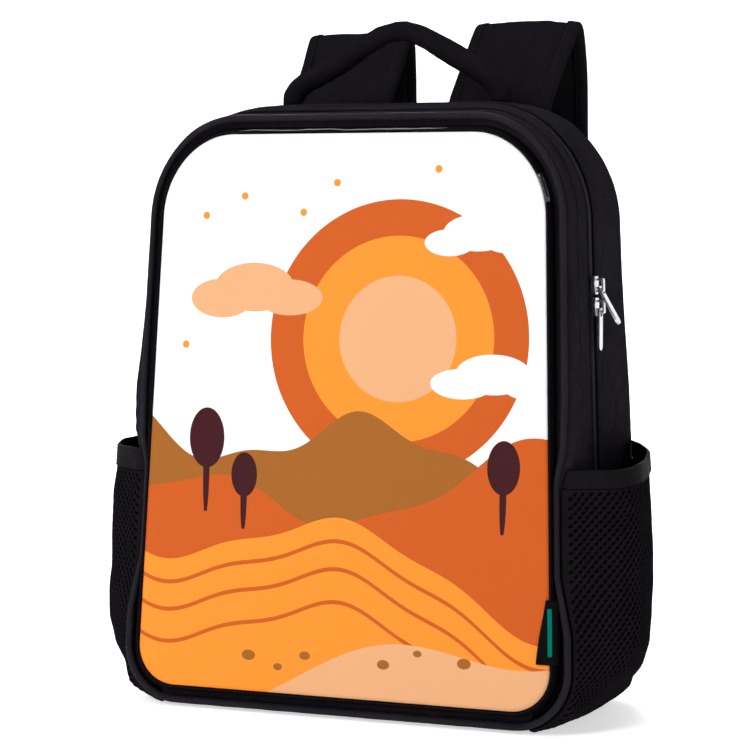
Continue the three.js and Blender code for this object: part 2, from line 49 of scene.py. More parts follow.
# Sizes of the body, as in the part
BODY_HEIGHT = 376.0
BODY_DEPTH = 140.0
FRONT_LEAN = 0.065
REAR_LEAN = 0.034
PANEL_HALF = 137.0
SIDE_TAPER = 0.099
PANEL_TOP = 356.0
PANEL_BOTTOM = 14.0
PANEL_CORNER = 50.0
BASE_CORNER = 25.0
SEAM_GAP = 0.3
BORDER_DEPTH = 7.0
PIPING_REACH = 9.9
PIPING_DEPTH = 4.5
PIPING_RADIUS = 2.2
SEAM_PINCH = 2.6
SEAM_DRAW = 4.0
GUSSET_REACH = 13.0
CROWN_RISE = 7.0
CORNER_GROWTH = 10.0
ZIPPER_SHARE = 0.45
HEM_TOP = 161.0
HEM_FOOT = 150.0
SEAM_DEPTH = BORDER_DEPTH + SEAM_GAP
POCKET_FRONT = SEAM_DEPTH - 0.1
POCKET_WRAP = 1.0
POCKET_REAR = 0.92
POCKET_SWELL = 30.6
POCKET_PEAK = 0.34
POCKET_CLEARANCE = 0.6
HANDLE_SPAN = 143.0
HANDLE_RISE = 45.0
HANDLE_RADIUS = 7.0
HANDLE_SHARE = 0.67
STRAP_WIDTH = 66.0
STRAP_THICKNESS = 9.0
STRAP_REACH = 62.0
STRAP_SPREAD = 0.4234 * PANEL_HALF


def add_object(name, data):
    made = bpy.data.objects.new(name, data)
    bpy.context.scene.collection.objects.link(made)
    return made


# Camera at the photograph's viewing angle
CAMERA_AZIMUTH = math.radians(22.89)
CAMERA_PITCH = math.radians(3.79)
CAMERA_AIM = Vector((-3.9, 0.0, 206.0)) * MM
CAMERA_DISTANCE = 1.631
CAMERA_LENS = 124.8


def make_camera():
    data = bpy.data.cameras.new("camera")
    data.sensor_width = 36.0
    data.lens = CAMERA_LENS
    data.clip_start = 0.05
    data.clip_end = 50.0
    cam = add_object("camera", data)
    level = math.cos(CAMERA_PITCH)
    ahead = Vector((
        -math.sin(CAMERA_AZIMUTH) * level,
        math.cos(CAMERA_AZIMUTH) * level,
        -math.sin(CAMERA_PITCH),
    ))
    cam.location = CAMERA_AIM - ahead * CAMERA_DISTANCE
    cam.rotation_mode = "QUATERNION"
    cam.rotation_quaternion = ahead.to_track_quat("-Z", "Y")
    bpy.context.scene.camera = cam


make_camera()


# Small mathematics
def smooth(t):
    t = np.clip(t, 0.0, 1.0)
    return t * t * (3.0 - 2.0 * t)


def hashed(i, j, k, seed):
    h = (i * 73856093) ^ (j * 19349663) ^ (k * 83492791) ^ (seed * 2654435)
    h = (h ^ (h >> 13)) * 1274126177
    h = (h ^ (h >> 16)) & 0xFFFF
    return h / 32767.5 - 1.0


def field(points, size, seed=0):
    """Smooth noise from -1 to 1 whose bumps are about as far apart as size, one or three numbers."""
    p = np.asarray(points, float) / np.asarray(size, float)
    i = np.floor(p).astype(np.int64)
    f = p - i
    f = f * f * (3.0 - 2.0 * f)
    total = np.zeros(len(p))
    for a in (0, 1):
        for b in (0, 1):
            for c in (0, 1):
                weight = (f[:, 0] if a else 1 - f[:, 0]) * (f[:, 1] if b else 1 - f[:, 1])
                weight = weight * (f[:, 2] if c else 1 - f[:, 2])
                total += weight * hashed(i[:, 0] + a, i[:, 1] + b, i[:, 2] + c, seed)
    return total


def lengths_along(places):
    """The length from a line's start to each of its places."""
    return np.concatenate([[0.0], np.cumsum(np.linalg.norm(np.diff(places, axis=0), axis=1))])


def unit(v):
    length = np.linalg.norm(v, axis=-1, keepdims=True)
    return v / np.maximum(length, 1e-12)


def curve_through(rows, count, closed=False):
    """Points evenly spread along a Catmull-Rom curve through the rows."""
    rows = np.asarray(rows, float)
    n = len(rows)
    fine = []
    last = n if closed else n - 1
    for i in range(last):
        if closed:
            p0, p1, p2, p3 = (rows[(i + k) % n] for k in (-1, 0, 1, 2))
        else:
            p1, p2 = rows[i], rows[i + 1]
            p0 = rows[i - 1] if i > 0 else 2 * p1 - p2
            p3 = rows[i + 2] if i + 2 < n else 2 * p2 - p1
        t = np.linspace(0.0, 1.0, 24, endpoint=False)[:, None]
        fine.append(0.5 * (2 * p1 + (p2 - p0) * t + (2 * p0 - 5 * p1 + 4 * p2 - p3) * t ** 2
                           + (3 * p1 - p0 - 3 * p2 + p3) * t ** 3))
    fine = np.concatenate(fine + [rows[:1] if closed else rows[-1:]])
    along = lengths_along(fine)
    at = np.linspace(0.0, along[-1], count, endpoint=not closed)
    return np.stack([np.interp(at, along, fine[:, k]) for k in range(rows.shape[1])], axis=1)


# The bag's outline at any depth, as in the part
def front_plane(z):
    return -BODY_DEPTH / 2 + FRONT_LEAN * z


def rear_plane(z):
    return BODY_DEPTH / 2 - REAR_LEAN * z


def depth_at(z):
    return rear_plane(z) - front_plane(z)


def swell_at(depth):
    return float(smooth((depth - BORDER_DEPTH) / (0.3 * BODY_DEPTH)))


PINCH_HEIGHTS = np.array([0.16, 0.25, 0.41, 0.475, 0.53]) * BODY_HEIGHT
PINCH_PULLS = [0.0, 1.0, 1.0, 0.45, 0.0]
DRAW_HEIGHTS = [60.0, 94.0, 148.0, 168.0]
DRAW_PULLS = [0.0, 1.0, 1.0, 0.0]


def pinch_at(depth, out, z):
    reach = float(smooth((out - 1.0) / (PIPING_REACH - 1.0)))
    fade = 1.0 - smooth((depth - BORDER_DEPTH) / (2.5 * BORDER_DEPTH))
    pull = SEAM_PINCH * np.interp(z, PINCH_HEIGHTS, PINCH_PULLS)
    return reach * fade * (pull + SEAM_DRAW * np.interp(z, DRAW_HEIGHTS, DRAW_PULLS))


BULGE_HEIGHTS = np.array([0.1, 0.3, 0.42, 0.53, 0.64, 0.72, 0.84, 1.0]) * BODY_HEIGHT
BULGE_SHARES = [0.0, 0.5, 1.0, 1.0, 0.55, 0.4, 0.5, 0.45]
BULGE_RISE = 4.0
SIDE_BULGE = 2.5
STRIP_HALF = 0.09
STRIP_FADE = 0.16


def bulge_at(depth, z):
    """How far the soft side walls stand out of the solids, but for the strip that holds the sliders."""
    behind = smooth((depth - BORDER_DEPTH) / BULGE_RISE)
    share = depth / depth_at(z)
    strip = 1.0 - smooth((np.abs(share - ZIPPER_SHARE) - STRIP_HALF) / STRIP_FADE)
    return SIDE_BULGE * behind * (1.0 - strip) * np.interp(z, BULGE_HEIGHTS, BULGE_SHARES)


LEFT_HEIGHTS = [110, 160, 176, 197, 220, 258, 320, 356]
LEFT_SHARES = [0.0, 0.5, 1.0, 1.0, 0.67, 0.47, 0.5, 0.2]
LEFT_BULGE = 3.2
LEFT_DEPTH = 14.0
LEFT_FADE = 30.0


def left_bulge_at(depth, z):
    """The front roll of the left side, which stands out a little more than the right one."""
    near = smooth((depth - BORDER_DEPTH) / BULGE_RISE) * (1.0 - smooth((depth - LEFT_DEPTH) / LEFT_FADE))
    return LEFT_BULGE * near * np.interp(z, LEFT_HEIGHTS, LEFT_SHARES)


# A station is a stretch of the outline and a number along it: a share, an angle or a height
FLOOR, BASE, SIDE, CROWN, TOP = range(5)
SIDE_LOW = PANEL_BOTTOM + BASE_CORNER
SIDE_HIGH = PANEL_TOP - PANEL_CORNER
SETTLE_HEIGHT = 60.0
GROWTH_HEIGHT = 290.0
WALL_OUT = 3.0
BULGE_SPAN = 70.0
BULGE_FADE = 50.0
# About how long the stretches beside the straight side are, for the number of their stations
FLOOR_RUN = 105
BASE_RUN = 70
CROWN_RUN = 95
TOP_RUN = 80


def half_path(spacing):
    rows = [(FLOOR, t) for t in np.linspace(0, 1, int(FLOOR_RUN / spacing))[:-1]]
    rows += [(BASE, a) for a in np.linspace(-90, 0, int(BASE_RUN / spacing))[:-1]]
    heights = set(np.round(np.arange(SIDE_LOW, SIDE_HIGH, spacing), 3)) | {HEM_FOOT, HEM_TOP}
    rows += [(SIDE, z) for z in sorted(heights)]
    rows += [(CROWN, a) for a in np.linspace(0, 90, int(CROWN_RUN / spacing))[:-1]]
    rows += [(TOP, t) for t in np.linspace(1, 0, int(TOP_RUN / spacing))]
    return rows


def make_path(kind, spacing):
    """Stations round the outline: the whole loop, the arch above the hems or the base below them."""
    half = half_path(spacing)
    right = [(k, v, 1.0) for k, v in half]
    left = [(k, v, -1.0) for k, v in reversed(half)]
    cut = next(i for i, (k, v) in enumerate(half) if k == SIDE and v >= HEM_FOOT)
    if kind == "loop":
        return right + left[1:-1]
    if kind == "arch":
        return right[cut:] + left[1:len(half) - cut]
    low = right[:cut] + [(SIDE, HEM_FOOT - SEAM_GAP, 1.0)]
    return [(k, v, -1.0) for k, v, _ in reversed(low)] + low[1:]


def ring(path, share, offset, out):
    """One row of places along a path, so deep behind the front and so far out from the panel's edge."""
    kind, value, sign = np.array(path, float).T
    swell = swell_at(share * depth_at(BODY_HEIGHT) + offset)
    settle = (GUSSET_REACH - PANEL_BOTTOM) * swell_at(share * depth_at(0.0) + offset)
    half = PANEL_HALF + out
    top = PANEL_TOP + CROWN_RISE * swell + out
    corner = max(PANEL_CORNER + CORNER_GROWTH * swell + out, 1.0)
    low = PANEL_BOTTOM + settle - out
    base = max(BASE_CORNER + out, 1.0)
    turn = np.radians(value)
    low_share = np.clip((SETTLE_HEIGHT - value) / (SETTLE_HEIGHT - SIDE_LOW), 0, 1)
    high_share = np.clip((value - GROWTH_HEIGHT) / (SIDE_HIGH - GROWTH_HEIGHT), 0, 1)
    z_side = value + settle * low_share + (top - corner - SIDE_HIGH) * high_share
    stretches = [kind == FLOOR, kind == BASE, kind == SIDE, kind == CROWN]
    heights = [low, low + base + base * np.sin(turn), z_side, top - corner + corner * np.sin(turn)]
    z = np.select(stretches, heights, top)
    depth = share * depth_at(z) + offset
    widths = [value * (half - base), half - base + base * np.cos(turn), half - pinch_at(depth, out, z),
              half - corner + corner * np.cos(turn)]
    x = np.select(stretches, widths, value * (half - corner))
    if out > WALL_OUT:
        level = smooth((np.abs(x) - half + BULGE_SPAN) / BULGE_FADE)
        x = x + level * (bulge_at(depth, z) + (sign < 0) * left_bulge_at(depth, z))
    x = sign * x * (1.0 - SIDE_TAPER * z / BODY_HEIGHT)
    return np.stack([x, front_plane(z) + depth, z], axis=1)


# Meshes
def make_piece(name, points, faces, material, slot, replaces=()):
    mesh = bpy.data.meshes.new(name)
    mesh.from_pydata([tuple(p) for p in np.asarray(points) * MM], [], [tuple(f) for f in faces])
    mesh.validate()
    mesh.update()
    for one in material if isinstance(material, list) else [material]:
        mesh.materials.append(one)
    return dress(add_object(name, mesh), replaces)


def dress(piece, replaces=()):
    """Shades a piece smoothly, states its body and hides the nodes that it stands for."""
    piece.data.polygons.foreach_set("use_smooth", [True] * len(piece.data.polygons))
    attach(piece, "root")
    if replaces:
        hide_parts(*replaces)
    return piece


def grid_faces(rows, cols, wrap_rows=False, wrap_cols=False, start=0):
    r = np.arange(rows if wrap_rows else rows - 1)
    c = np.arange(cols if wrap_cols else cols - 1)
    rr, cc = np.meshgrid(r, c, indexing="ij")
    r2, c2 = (rr + 1) % rows, (cc + 1) % cols
    quads = np.stack([rr * cols + cc, rr * cols + c2, r2 * cols + c2, r2 * cols + cc], axis=-1)
    return (quads.reshape(-1, 4) + start).tolist()


def loft(rings, closed_path=False, closed_ring=True, caps=True):
    """Points and faces of rings[station][place], closed by fans at its ends."""
    rings = np.asarray(rings, float)
    rows, cols = rings.shape[:2]
    points = rings.reshape(-1, 3)
    faces = grid_faces(rows, cols, closed_path, closed_ring)
    if caps and not closed_path:
        first, last = rings[0].mean(axis=0), rings[-1].mean(axis=0)
        a, b = len(points), len(points) + 1
        points = np.concatenate([points, [first, last]])
        base = (rows - 1) * cols
        for c in range(cols):
            d = (c + 1) % cols
            faces.append((a, d, c))
            faces.append((b, base + c, base + d))
    return points, outward(points, faces)


def tube_faces(rows, cols, start):
    """The faces of one tube of rings, each end closed by a single face."""
    last = start + cols * (rows - 1)
    ends = [tuple(range(start, start + cols))[::-1], tuple(range(last, last + cols))]
    return grid_faces(rows, cols, False, True, start) + ends


def outward(points, faces):
    """The faces, all turned the other way if they enclose a negative volume."""
    points = np.asarray(points)
    sample = [f[:3] for f in faces] + [(f[0], f[2], f[3]) for f in faces if len(f) == 4]
    tri = points[np.asarray(sample)]
    volume = np.einsum("ij,ij->i", tri[:, 0], np.cross(tri[:, 1], tri[:, 2])).sum()
    return [tuple(reversed(f)) for f in faces] if volume < 0 else faces


def coords_of(piece):
    flat = np.empty(len(piece.data.vertices) * 3)
    piece.data.vertices.foreach_get("co", flat)
    return flat.reshape(-1, 3) / MM


def set_coords(piece, points):
    piece.data.vertices.foreach_set("co", (np.asarray(points) * MM).ravel())
    piece.data.update()


def push(piece, amount):
    """Moves each point along its normal by amount(points), in millimetres."""
    points = coords_of(piece)
    normals = np.empty(len(points) * 3)
    piece.data.vertices.foreach_get("normal", normals)
    set_coords(piece, points + normals.reshape(-1, 3) * amount(points)[:, None])
    return piece


def applied(obj):
    """A mesh of the object as its modifiers leave it."""
    graph = bpy.context.evaluated_depsgraph_get()
    return bpy.data.meshes.new_from_object(obj.evaluated_get(graph))


CLOTH_FRAMES = 20
CLOTH_SETTINGS = {
    "quality": 6, "mass": 0.2, "tension_stiffness": 12.0, "compression_stiffness": 12.0,
    "shear_stiffness": 5.0, "bending_stiffness": 0.4, "use_pressure": True, "uniform_pressure_force": 4.0,
    "vertex_group_mass": "held",
}


def inflate(piece, voxel, cap, pinned):
    """Swells a padded piece as a cloth skin held at its pinned places; it moves no further than cap."""
    scene = bpy.context.scene
    soft = add_object(piece.name + "_skin", piece.data.copy())
    remesh = soft.modifiers.new("remesh", "REMESH")
    remesh.mode = "VOXEL"
    remesh.voxel_size = voxel * MM
    remesh.adaptivity = 0.0
    even = applied(soft)
    soft.modifiers.clear()
    soft.data = even
    start = coords_of(soft)
    held = soft.vertex_groups.new(name="held")
    held.add([int(i) for i in np.nonzero(pinned(start))[0]], 1.0, "REPLACE")
    cloth = soft.modifiers.new("cloth", "CLOTH")
    for key, value in CLOTH_SETTINGS.items():
        setattr(cloth.settings, key, value)
    cloth.settings.effector_weights.gravity = 0.0
    cloth.collision_settings.use_collision = False
    cloth.point_cache.frame_start = 1
    cloth.point_cache.frame_end = CLOTH_FRAMES
    for step in range(1, CLOTH_FRAMES + 1):
        scene.frame_set(step)
    swollen = applied(soft)
    scene.frame_set(1)
    soft.modifiers.clear()
    flat = np.empty(len(swollen.vertices) * 3)
    swollen.vertices.foreach_get("co", flat)
    move = flat.reshape(-1, 3) / MM - start
    far = np.linalg.norm(move, axis=1, keepdims=True)
    set_coords(soft, start + move * np.minimum(1.0, cap / np.maximum(far, 1e-9)))
    finer = soft.modifiers.new("finer", "SUBSURF")
    finer.levels = 1
    skin = applied(soft)
    materials = list(piece.data.materials)
    piece.data = skin
    skin.name = piece.name
    skin.materials.clear()
    for one in materials:
        skin.materials.append(one)
    skin.polygons.foreach_set("use_smooth", [True] * len(skin.polygons))
    bpy.data.objects.remove(soft)
    for spare in (even, swollen):
        bpy.data.meshes.remove(spare)
    return piece


def run_profile(path, profile):
    """Rings of a closed profile of (share, offset, out) rows run along a path."""
    return np.stack([ring(path, *row) for row in profile], axis=1)


def shell_profile(outer, cloth, count):
    """A cloth of some thickness whose outer face follows the rows, as a closed profile."""
    rows = curve_through(outer, count)
    flat = np.stack([rows[:, 0] * BODY_DEPTH + rows[:, 1], rows[:, 2]], axis=1)
    along = unit(np.gradient(flat, axis=0))
    inward = np.stack([-along[:, 1], along[:, 0]], axis=1)
    middle = inward[len(inward) // 2]
    if middle[1] > 0:
        inward = -inward
    inner = rows.copy()
    inner[:, 1] += inward[:, 0] * cloth
    inner[:, 2] += inward[:, 1] * cloth
    return np.concatenate([rows, inner[::-1]])


# Materials
class Shade:
    """A material made of nodes round one Principled shader."""

    def __init__(self, name, **values):
        self.material = bpy.data.materials.new(name)
        self.material.use_nodes = True
        self.tree = self.material.node_tree
        self.shader = self.tree.nodes["Principled BSDF"]
        for key, value in values.items():
            self.shader.inputs[key.replace("_", " ")].default_value = value
        self.place = self.node("ShaderNodeTexCoord").outputs["Object"]

    def node(self, kind, settings=None, **inputs):
        made = self.tree.nodes.new(kind)
        for key, value in (settings or {}).items():
            setattr(made, key, value)
        for key, value in inputs.items():
            socket = made.inputs[int(key[1:])] if key[0] == "i" and key[1:].isdigit() else made.inputs[key]
            self.join(value, socket)
        return made

    def join(self, value, socket):
        if isinstance(value, bpy.types.NodeSocket):
            self.tree.links.new(value, socket)
        else:
            socket.default_value = value

    def link(self, output, name):
        self.tree.links.new(output, self.shader.inputs[name])

    def maths(self, operation, a, b=0.0):
        return self.node("ShaderNodeMath", {"operation": operation}, i0=a, i1=b).outputs[0]

    def scaled(self, size, turn=(0.0, 0.0, 0.0)):
        rows = size if isinstance(size, (tuple, list)) else (size,) * 3
        made = self.node("ShaderNodeMapping", Vector=self.place, Scale=tuple(1.0 / (MM * s) for s in rows))
        made.inputs["Rotation"].default_value = turn
        return made.outputs[0]

    def noise(self, size, detail=2.0, rough=0.5):
        made = self.node("ShaderNodeTexNoise", None, Vector=self.scaled(size), Scale=1.0, Detail=detail)
        made.inputs["Roughness"].default_value = rough
        return made.outputs[0]

    def ramp(self, value, low, high, a, b):
        made = self.node("ShaderNodeMapRange", None, Value=value)
        for key, number in zip(("From Min", "From Max", "To Min", "To Max"), (low, high, a, b)):
            made.inputs[key].default_value = number
        return made.outputs[0]

    def mix(self, factor, a, b):
        made = self.node("ShaderNodeMix", {"data_type": "RGBA"}, Factor=factor)
        self.join(a, made.inputs[6])
        self.join(b, made.inputs[7])
        return made.outputs[2]

    def bump(self, height, strength, distance, under=None):
        made = self.node("ShaderNodeBump", None, Height=height, Strength=strength)
        made.inputs["Distance"].default_value = distance * MM
        if under is not None:
            self.join(under, made.inputs["Normal"])
        return made.outputs[0]


def rgb(r, g, b):
    """A linear colour from one of 0 to 255."""
    rows = [c / 255.0 for c in (r, g, b)]
    return tuple(c / 12.92 if c <= 0.04045 else ((c + 0.055) / 1.055) ** 2.4 for c in rows) + (1.0,)


def tint(tone, share):
    """A linear tone made darker or lighter, with its alpha."""
    return tuple(min(c * share, 1.0) for c in tone[:3]) + (1.0,)


def weave(s, size):
    """Crossed threads, as the height of a woven cloth."""
    waves = []
    for turn in (0.0, math.pi / 2):
        wave = s.node("ShaderNodeTexWave", {"bands_direction": "DIAGONAL"},
                      Vector=s.scaled(size, (0.0, turn, 0.0)), Scale=1.0)
        wave.inputs["Distortion"].default_value = 0.3
        waves.append(wave.outputs[1])
    return s.maths("MAXIMUM", *waves)


PATCH_SIZE = 26.0
FIBRE_SIZE = (7.0, 7.0, 22.0)
TONE_SPREAD = 0.25
WEAVE_SHADE = 0.45


def cloth_material(name, tone, rough, thread, relief=0.5, gloss=0.0, streaks=0.25):
    """Woven cloth of one linear tone, with threads so far apart and soft streaks down its length."""
    s = Shade(name, Roughness=rough, Specular_IOR_Level=gloss)
    patches = s.noise(PATCH_SIZE, 3.0)
    height = weave(s, thread)
    fibre = s.noise(FIBRE_SIZE, 4.0, 0.62)
    mottle = s.ramp(s.maths("ADD", patches, fibre), 0.6, 1.4, 0.0, 1.0)
    base = s.mix(mottle, tint(tone, 1.0 - TONE_SPREAD), tint(tone, 1.0 + TONE_SPREAD))
    s.link(s.mix(s.ramp(height, 0.0, 1.0, 0.0, 0.7), base, tint(tone, WEAVE_SHADE)), "Base Color")
    soft = s.bump(fibre, streaks, 1.6, s.bump(s.noise(4.0, 3.0), 0.3, 0.6))
    s.link(s.bump(height, relief, 0.25, soft), "Normal")
    s.link(s.ramp(patches, 0.3, 0.7, rough - 0.06, rough + 0.06), "Roughness")
    return s.material


def smooth_material(name, tone, rough, metallic=0.0, grain=6.0, relief=0.15, gloss=0.25):
    """Film, thread, plastic or metal, with a faint mottle in tone and roughness."""
    s = Shade(name, Roughness=rough, Metallic=metallic, Specular_IOR_Level=gloss)
    mottled = s.noise(grain, 3.0)
    s.link(s.mix(mottled, tint(tone, 0.88), tint(tone, 1.1)), "Base Color")
    s.link(s.ramp(mottled, 0.3, 0.7, rough * 0.85, rough * 1.2), "Roughness")
    s.link(s.bump(s.noise(grain * 0.3, 2.0), relief, 0.1), "Normal")
    return s.material


black_cloth = cloth_material("polyester", (0.0205, 0.0182, 0.0242), 0.6, 3.0, relief=1.0, streaks=0.5)
strap_cloth = cloth_material("strap cloth", (0.012, 0.0103, 0.0132), 0.6, 2.2, relief=0.7)
strap_mesh = cloth_material("spacer mesh", (0.012, 0.0103, 0.0128), 0.8, 4.4, relief=1.0)
net_cloth = cloth_material("net yarn", (0.0125, 0.0108, 0.0135), 0.62, 0.8)
# Very dark sheet behind the pocket nets: painted shade for the pocket's shaded inside
pocket_shade_cloth = cloth_material("painted pocket shade", (0.0055, 0.0047, 0.006), 0.85, 0.3)
hem_cloth = cloth_material("elastic", (0.0105, 0.009, 0.0113), 0.6, 1.2, gloss=0.02)
tape_cloth = cloth_material("zipper tape", (0.012, 0.0104, 0.013), 0.7, 0.9)
webbing_cloth = cloth_material("webbing", (0.012, 0.0106, 0.013), 0.6, 1.6)
piping_cloth = cloth_material("piping", (0.0215, 0.0193, 0.0255), 0.55, 1.2, gloss=0.02)
border_film = smooth_material("bound edge", (0.0026, 0.0018, 0.0028), 0.35, gloss=0.01)
wet_film = smooth_material("creased clear film", (0.004, 0.0035, 0.0045), 0.12, gloss=1.0)
# Pale tone of the fine line along the border: a painted highlight of a glossy edge
highlight_paint = smooth_material("painted edge highlight colour", (0.16, 0.155, 0.15), 0.4, grain=4.0, gloss=0.3)
thread_dark = smooth_material("thread", (0.023, 0.0212, 0.026), 0.7, grain=1.0, gloss=0.0)
coil_nylon = smooth_material("coil nylon", (0.028, 0.026, 0.031), 0.5, grain=1.0, gloss=0.02)
metal = smooth_material("plated metal", (0.62, 0.63, 0.65), 0.24, metallic=1.0, grain=5.0)
plastic = smooth_material("moulded plastic", (0.009, 0.0088, 0.0098), 0.42, grain=2.0, gloss=0.06)

# Print: a made-up evening landscape of flat shapes on white
ORANGE = rgb(191, 85, 26)
AMBER = rgb(240, 139, 44)
TAN = rgb(218, 163, 118)
BROWN = rgb(153, 92, 33)
MAROON = rgb(58, 14, 20)
WHITE = (0.86, 0.86, 0.855, 1.0)

# Its discs are (x, z, half width, half height) in the panel's plane, and its hills are
# (height at the middle, slope, waves), with each wave's (height, length, shift)
SUN = (34, 232)
SUN_RINGS = [(84, ORANGE), (62, AMBER), (38, TAN)]
CLOUDS = [
    (TAN, [(-62, 262, 27, 15), (-84, 255, 21, 12), (-38, 256, 22, 11)]),
    (WHITE, [(84, 296, 22, 11), (66, 290, 16, 8), (103, 291, 15, 7)]),
    (WHITE, [(96, 212, 24, 12), (76, 206, 20, 9), (117, 206, 15, 8)]),
]
FAR_HILL = (168, -0.05, [(16, 190, 30), (5, 74, 10)])
MIDDLE_HILL = (138, 0.12, [(20, 236, -70), (4, 90, 0)])
NEAR_HILL = (98, -0.16, [(22, 262, 60), (3, 80, 20)])
FRONT_HILL = (30, 0.17, [(13, 210, 25)])
FURROWS = [13, 30, 50]
FURROW_WIDTH = 2.6
TREES = [(-92, 150, 30), (-66, 133, 22), (104, 141, 26)]
TRUNK_WIDTH = 2.2
CROWN_SHARE = 0.62
STONES = [(-60, 36, 4.5), (-40, 30, 3), (-22, 38, 3.6), (30, 36, 4), (52, 44, 2.8), (82, 40, 4.4)]
STONE_SHARE = 0.72
STARS = [(-96, 306), (-70, 318), (-30, 308), (-8, 326), (-108, 226), (58, 334)]
STAR_RADIUS = 2.3


def in_millimetres(s):
    """The sockets of x and z over an object, in millimetres."""
    split = s.node("ShaderNodeSeparateXYZ", None, Vector=s.place)
    return s.maths("DIVIDE", split.outputs[0], MM), s.maths("DIVIDE", split.outputs[2], MM)


def print_material():
    s = Shade("printed film", Roughness=0.45, Specular_IOR_Level=0.12)
    x, z = in_millimetres(s)
    flat = s.node("ShaderNodeCombineXYZ", None, X=x, Y=0.0, Z=z).outputs[0]
    colour = WHITE

    def disc(cx, cz, rx, rz=None):
        size = (rx, 1.0, rx if rz is None else rz)
        moved = s.node("ShaderNodeMapping", {"vector_type": "TEXTURE"}, Vector=flat, Location=(cx, 0.0, cz))
        moved.inputs["Scale"].default_value = size
        far = s.node("ShaderNodeVectorMath", {"operation": "LENGTH"}, i0=moved.outputs[0]).outputs["Value"]
        return s.maths("LESS_THAN", far, 1.0)

    def hill(base, slope, waves):
        line = s.maths("ADD", s.maths("MULTIPLY", x, slope), base)
        for height, length, shift in waves:
            turn = s.maths("MULTIPLY", s.maths("ADD", x, shift), 2 * math.pi / length)
            line = s.maths("ADD", line, s.maths("MULTIPLY", s.maths("SINE", turn), height))
        return line

    def lay(mask, tone):
        nonlocal colour
        colour = s.mix(mask, colour, tone)

    def lay_band(top, foot, tone):
        lay(s.maths("MINIMUM", s.maths("LESS_THAN", z, top), s.maths("GREATER_THAN", z, foot)), tone)

    for radius, tone in SUN_RINGS:
        lay(disc(*SUN, radius), tone)
    for tone, (first, *others) in CLOUDS:
        cloud = disc(*first)
        for one in others:
            cloud = s.maths("MAXIMUM", cloud, disc(*one))
        lay(cloud, tone)
    lay(s.maths("LESS_THAN", z, hill(*FAR_HILL)), BROWN)
    lay(s.maths("LESS_THAN", z, hill(*MIDDLE_HILL)), ORANGE)
    field_line = hill(*NEAR_HILL)
    lay(s.maths("LESS_THAN", z, field_line), AMBER)
    for step in FURROWS:
        top = s.maths("SUBTRACT", field_line, float(step))
        lay_band(top, s.maths("SUBTRACT", top, FURROW_WIDTH), ORANGE)
    lay(s.maths("LESS_THAN", z, hill(*FRONT_HILL)), TAN)
    for cx, cz, tall in TREES:
        above = s.maths("GREATER_THAN", z, cz - tall * 0.9)
        lay(s.maths("MINIMUM", disc(cx, cz, TRUNK_WIDTH, tall), above), MAROON)
        lay(disc(cx, cz + tall * CROWN_SHARE, tall * 0.4, tall * CROWN_SHARE), MAROON)
    for cx, cz, r in STONES:
        lay(disc(cx, cz, r, r * STONE_SHARE), BROWN)
    for cx, cz in STARS:
        lay(disc(cx, cz, STAR_RADIUS), AMBER)
    s.join(colour, s.shader.inputs["Base Color"])
    s.link(s.bump(s.noise(9.0, 3.0), 0.12, 0.4), "Normal")
    return s.material


printed_film = print_material()


# Front: printed panel, bound edge with its stitches, and piping
PRINT_MIDDLE = 185.0
PRINT_THICKNESS = 3.0
PRINT_SHARES = np.concatenate([[1.0, 0.985, 0.96], np.linspace(0.92, 0.04, 30)])


def shrunk(edge, centre, shares):
    """The rows of an outline drawn in towards a centre."""
    return [centre + (edge - centre) * k for k in shares]


def make_panel():
    """The print, in slow waves that die out at its edge, where it sinks under the border."""
    edge = ring(make_path("loop", 3.0), 0.0, 0.0, 0.0)
    centre = np.array([0.0, front_plane(PRINT_MIDDLE), PRINT_MIDDLE])
    front, back = [], []
    for k, row in zip(PRINT_SHARES, shrunk(edge, centre, PRINT_SHARES)):
        row[:, 1] = front_plane(row[:, 2])
        wave = 0.35 * field(row, 70, 3) + 0.12 * field(row, (18, 30, 18), 4)
        sink = 0.25 * (1.0 - smooth((1.0 - k) / 0.03))
        row[:, 1] += sink - 0.15 + wave * smooth((1.0 - k) / 0.1)
        front.append(row)
        back.append(np.stack([row[:, 0], front_plane(row[:, 2]) + PRINT_THICKNESS, row[:, 2]], axis=1))
    points, faces = loft(np.stack(back[::-1] + front))
    return make_piece("printed_panel", points, faces, printed_film, "print", replaces=["front_panel"])


# The bound edge's closed profile: (share, depth, out from the panel's edge)
BORDER_ROWS = [
    (0, 2.6, 0.35), (0, 0.5, 0.3), (0, -0.05, 0.7), (0, -0.2, 1.3), (0, -0.45, 1.9), (0, -0.2, 2.5),
    (0, 0.35, 3.1), (0, 1.4, 3.75), (0, 3.0, 4.15), (0, 5.0, 4.2), (0, 6.7, 4.1), (0, 6.9, 3.2),
    (0, 6.6, 1.9), (0, 4.5, 1.7), (0, 3.2, 1.5), (0, 3.1, 0.7),
]
CREASE = (125.0, 323.0)
CREASE_RADIUS = 9.0


def make_border():
    rings = run_profile(make_path("loop", 1.2), curve_through(BORDER_ROWS, 30, closed=True))
    points, faces = loft(rings, closed_path=True)
    films = [border_film, wet_film]
    piece = make_piece("bound_edge", points, faces, films, "trim", replaces=["front_border"])
    for poly in piece.data.polygons:
        away = math.hypot(poly.center.x / MM - CREASE[0], poly.center.z / MM - CREASE[1])
        poly.material_index = int(away < CREASE_RADIUS)

    def crinkle(p):
        near = np.exp(-((p[:, 0] - CREASE[0]) ** 2 + (p[:, 2] - CREASE[1]) ** 2) / CREASE_RADIUS ** 2)
        fine = np.abs(field(p, 3.4, 7)) + 0.6 * np.abs(field(p, 1.9, 8))
        outer = p[:, 1] < front_plane(p[:, 2]) + 1.6
        return outer * (near * 0.9 * (fine - 0.35) + 0.06 * field(p, 9.0, 9))

    return push(piece, crinkle)


# The painted highlight line along the border's top
HIGHLIGHT_SPAN = (-75.0, 63.0)
HIGHLIGHT_OUT = 2.2
HIGHLIGHT_RADIUS = 0.3
HIGHLIGHT_TAPER = 12.0


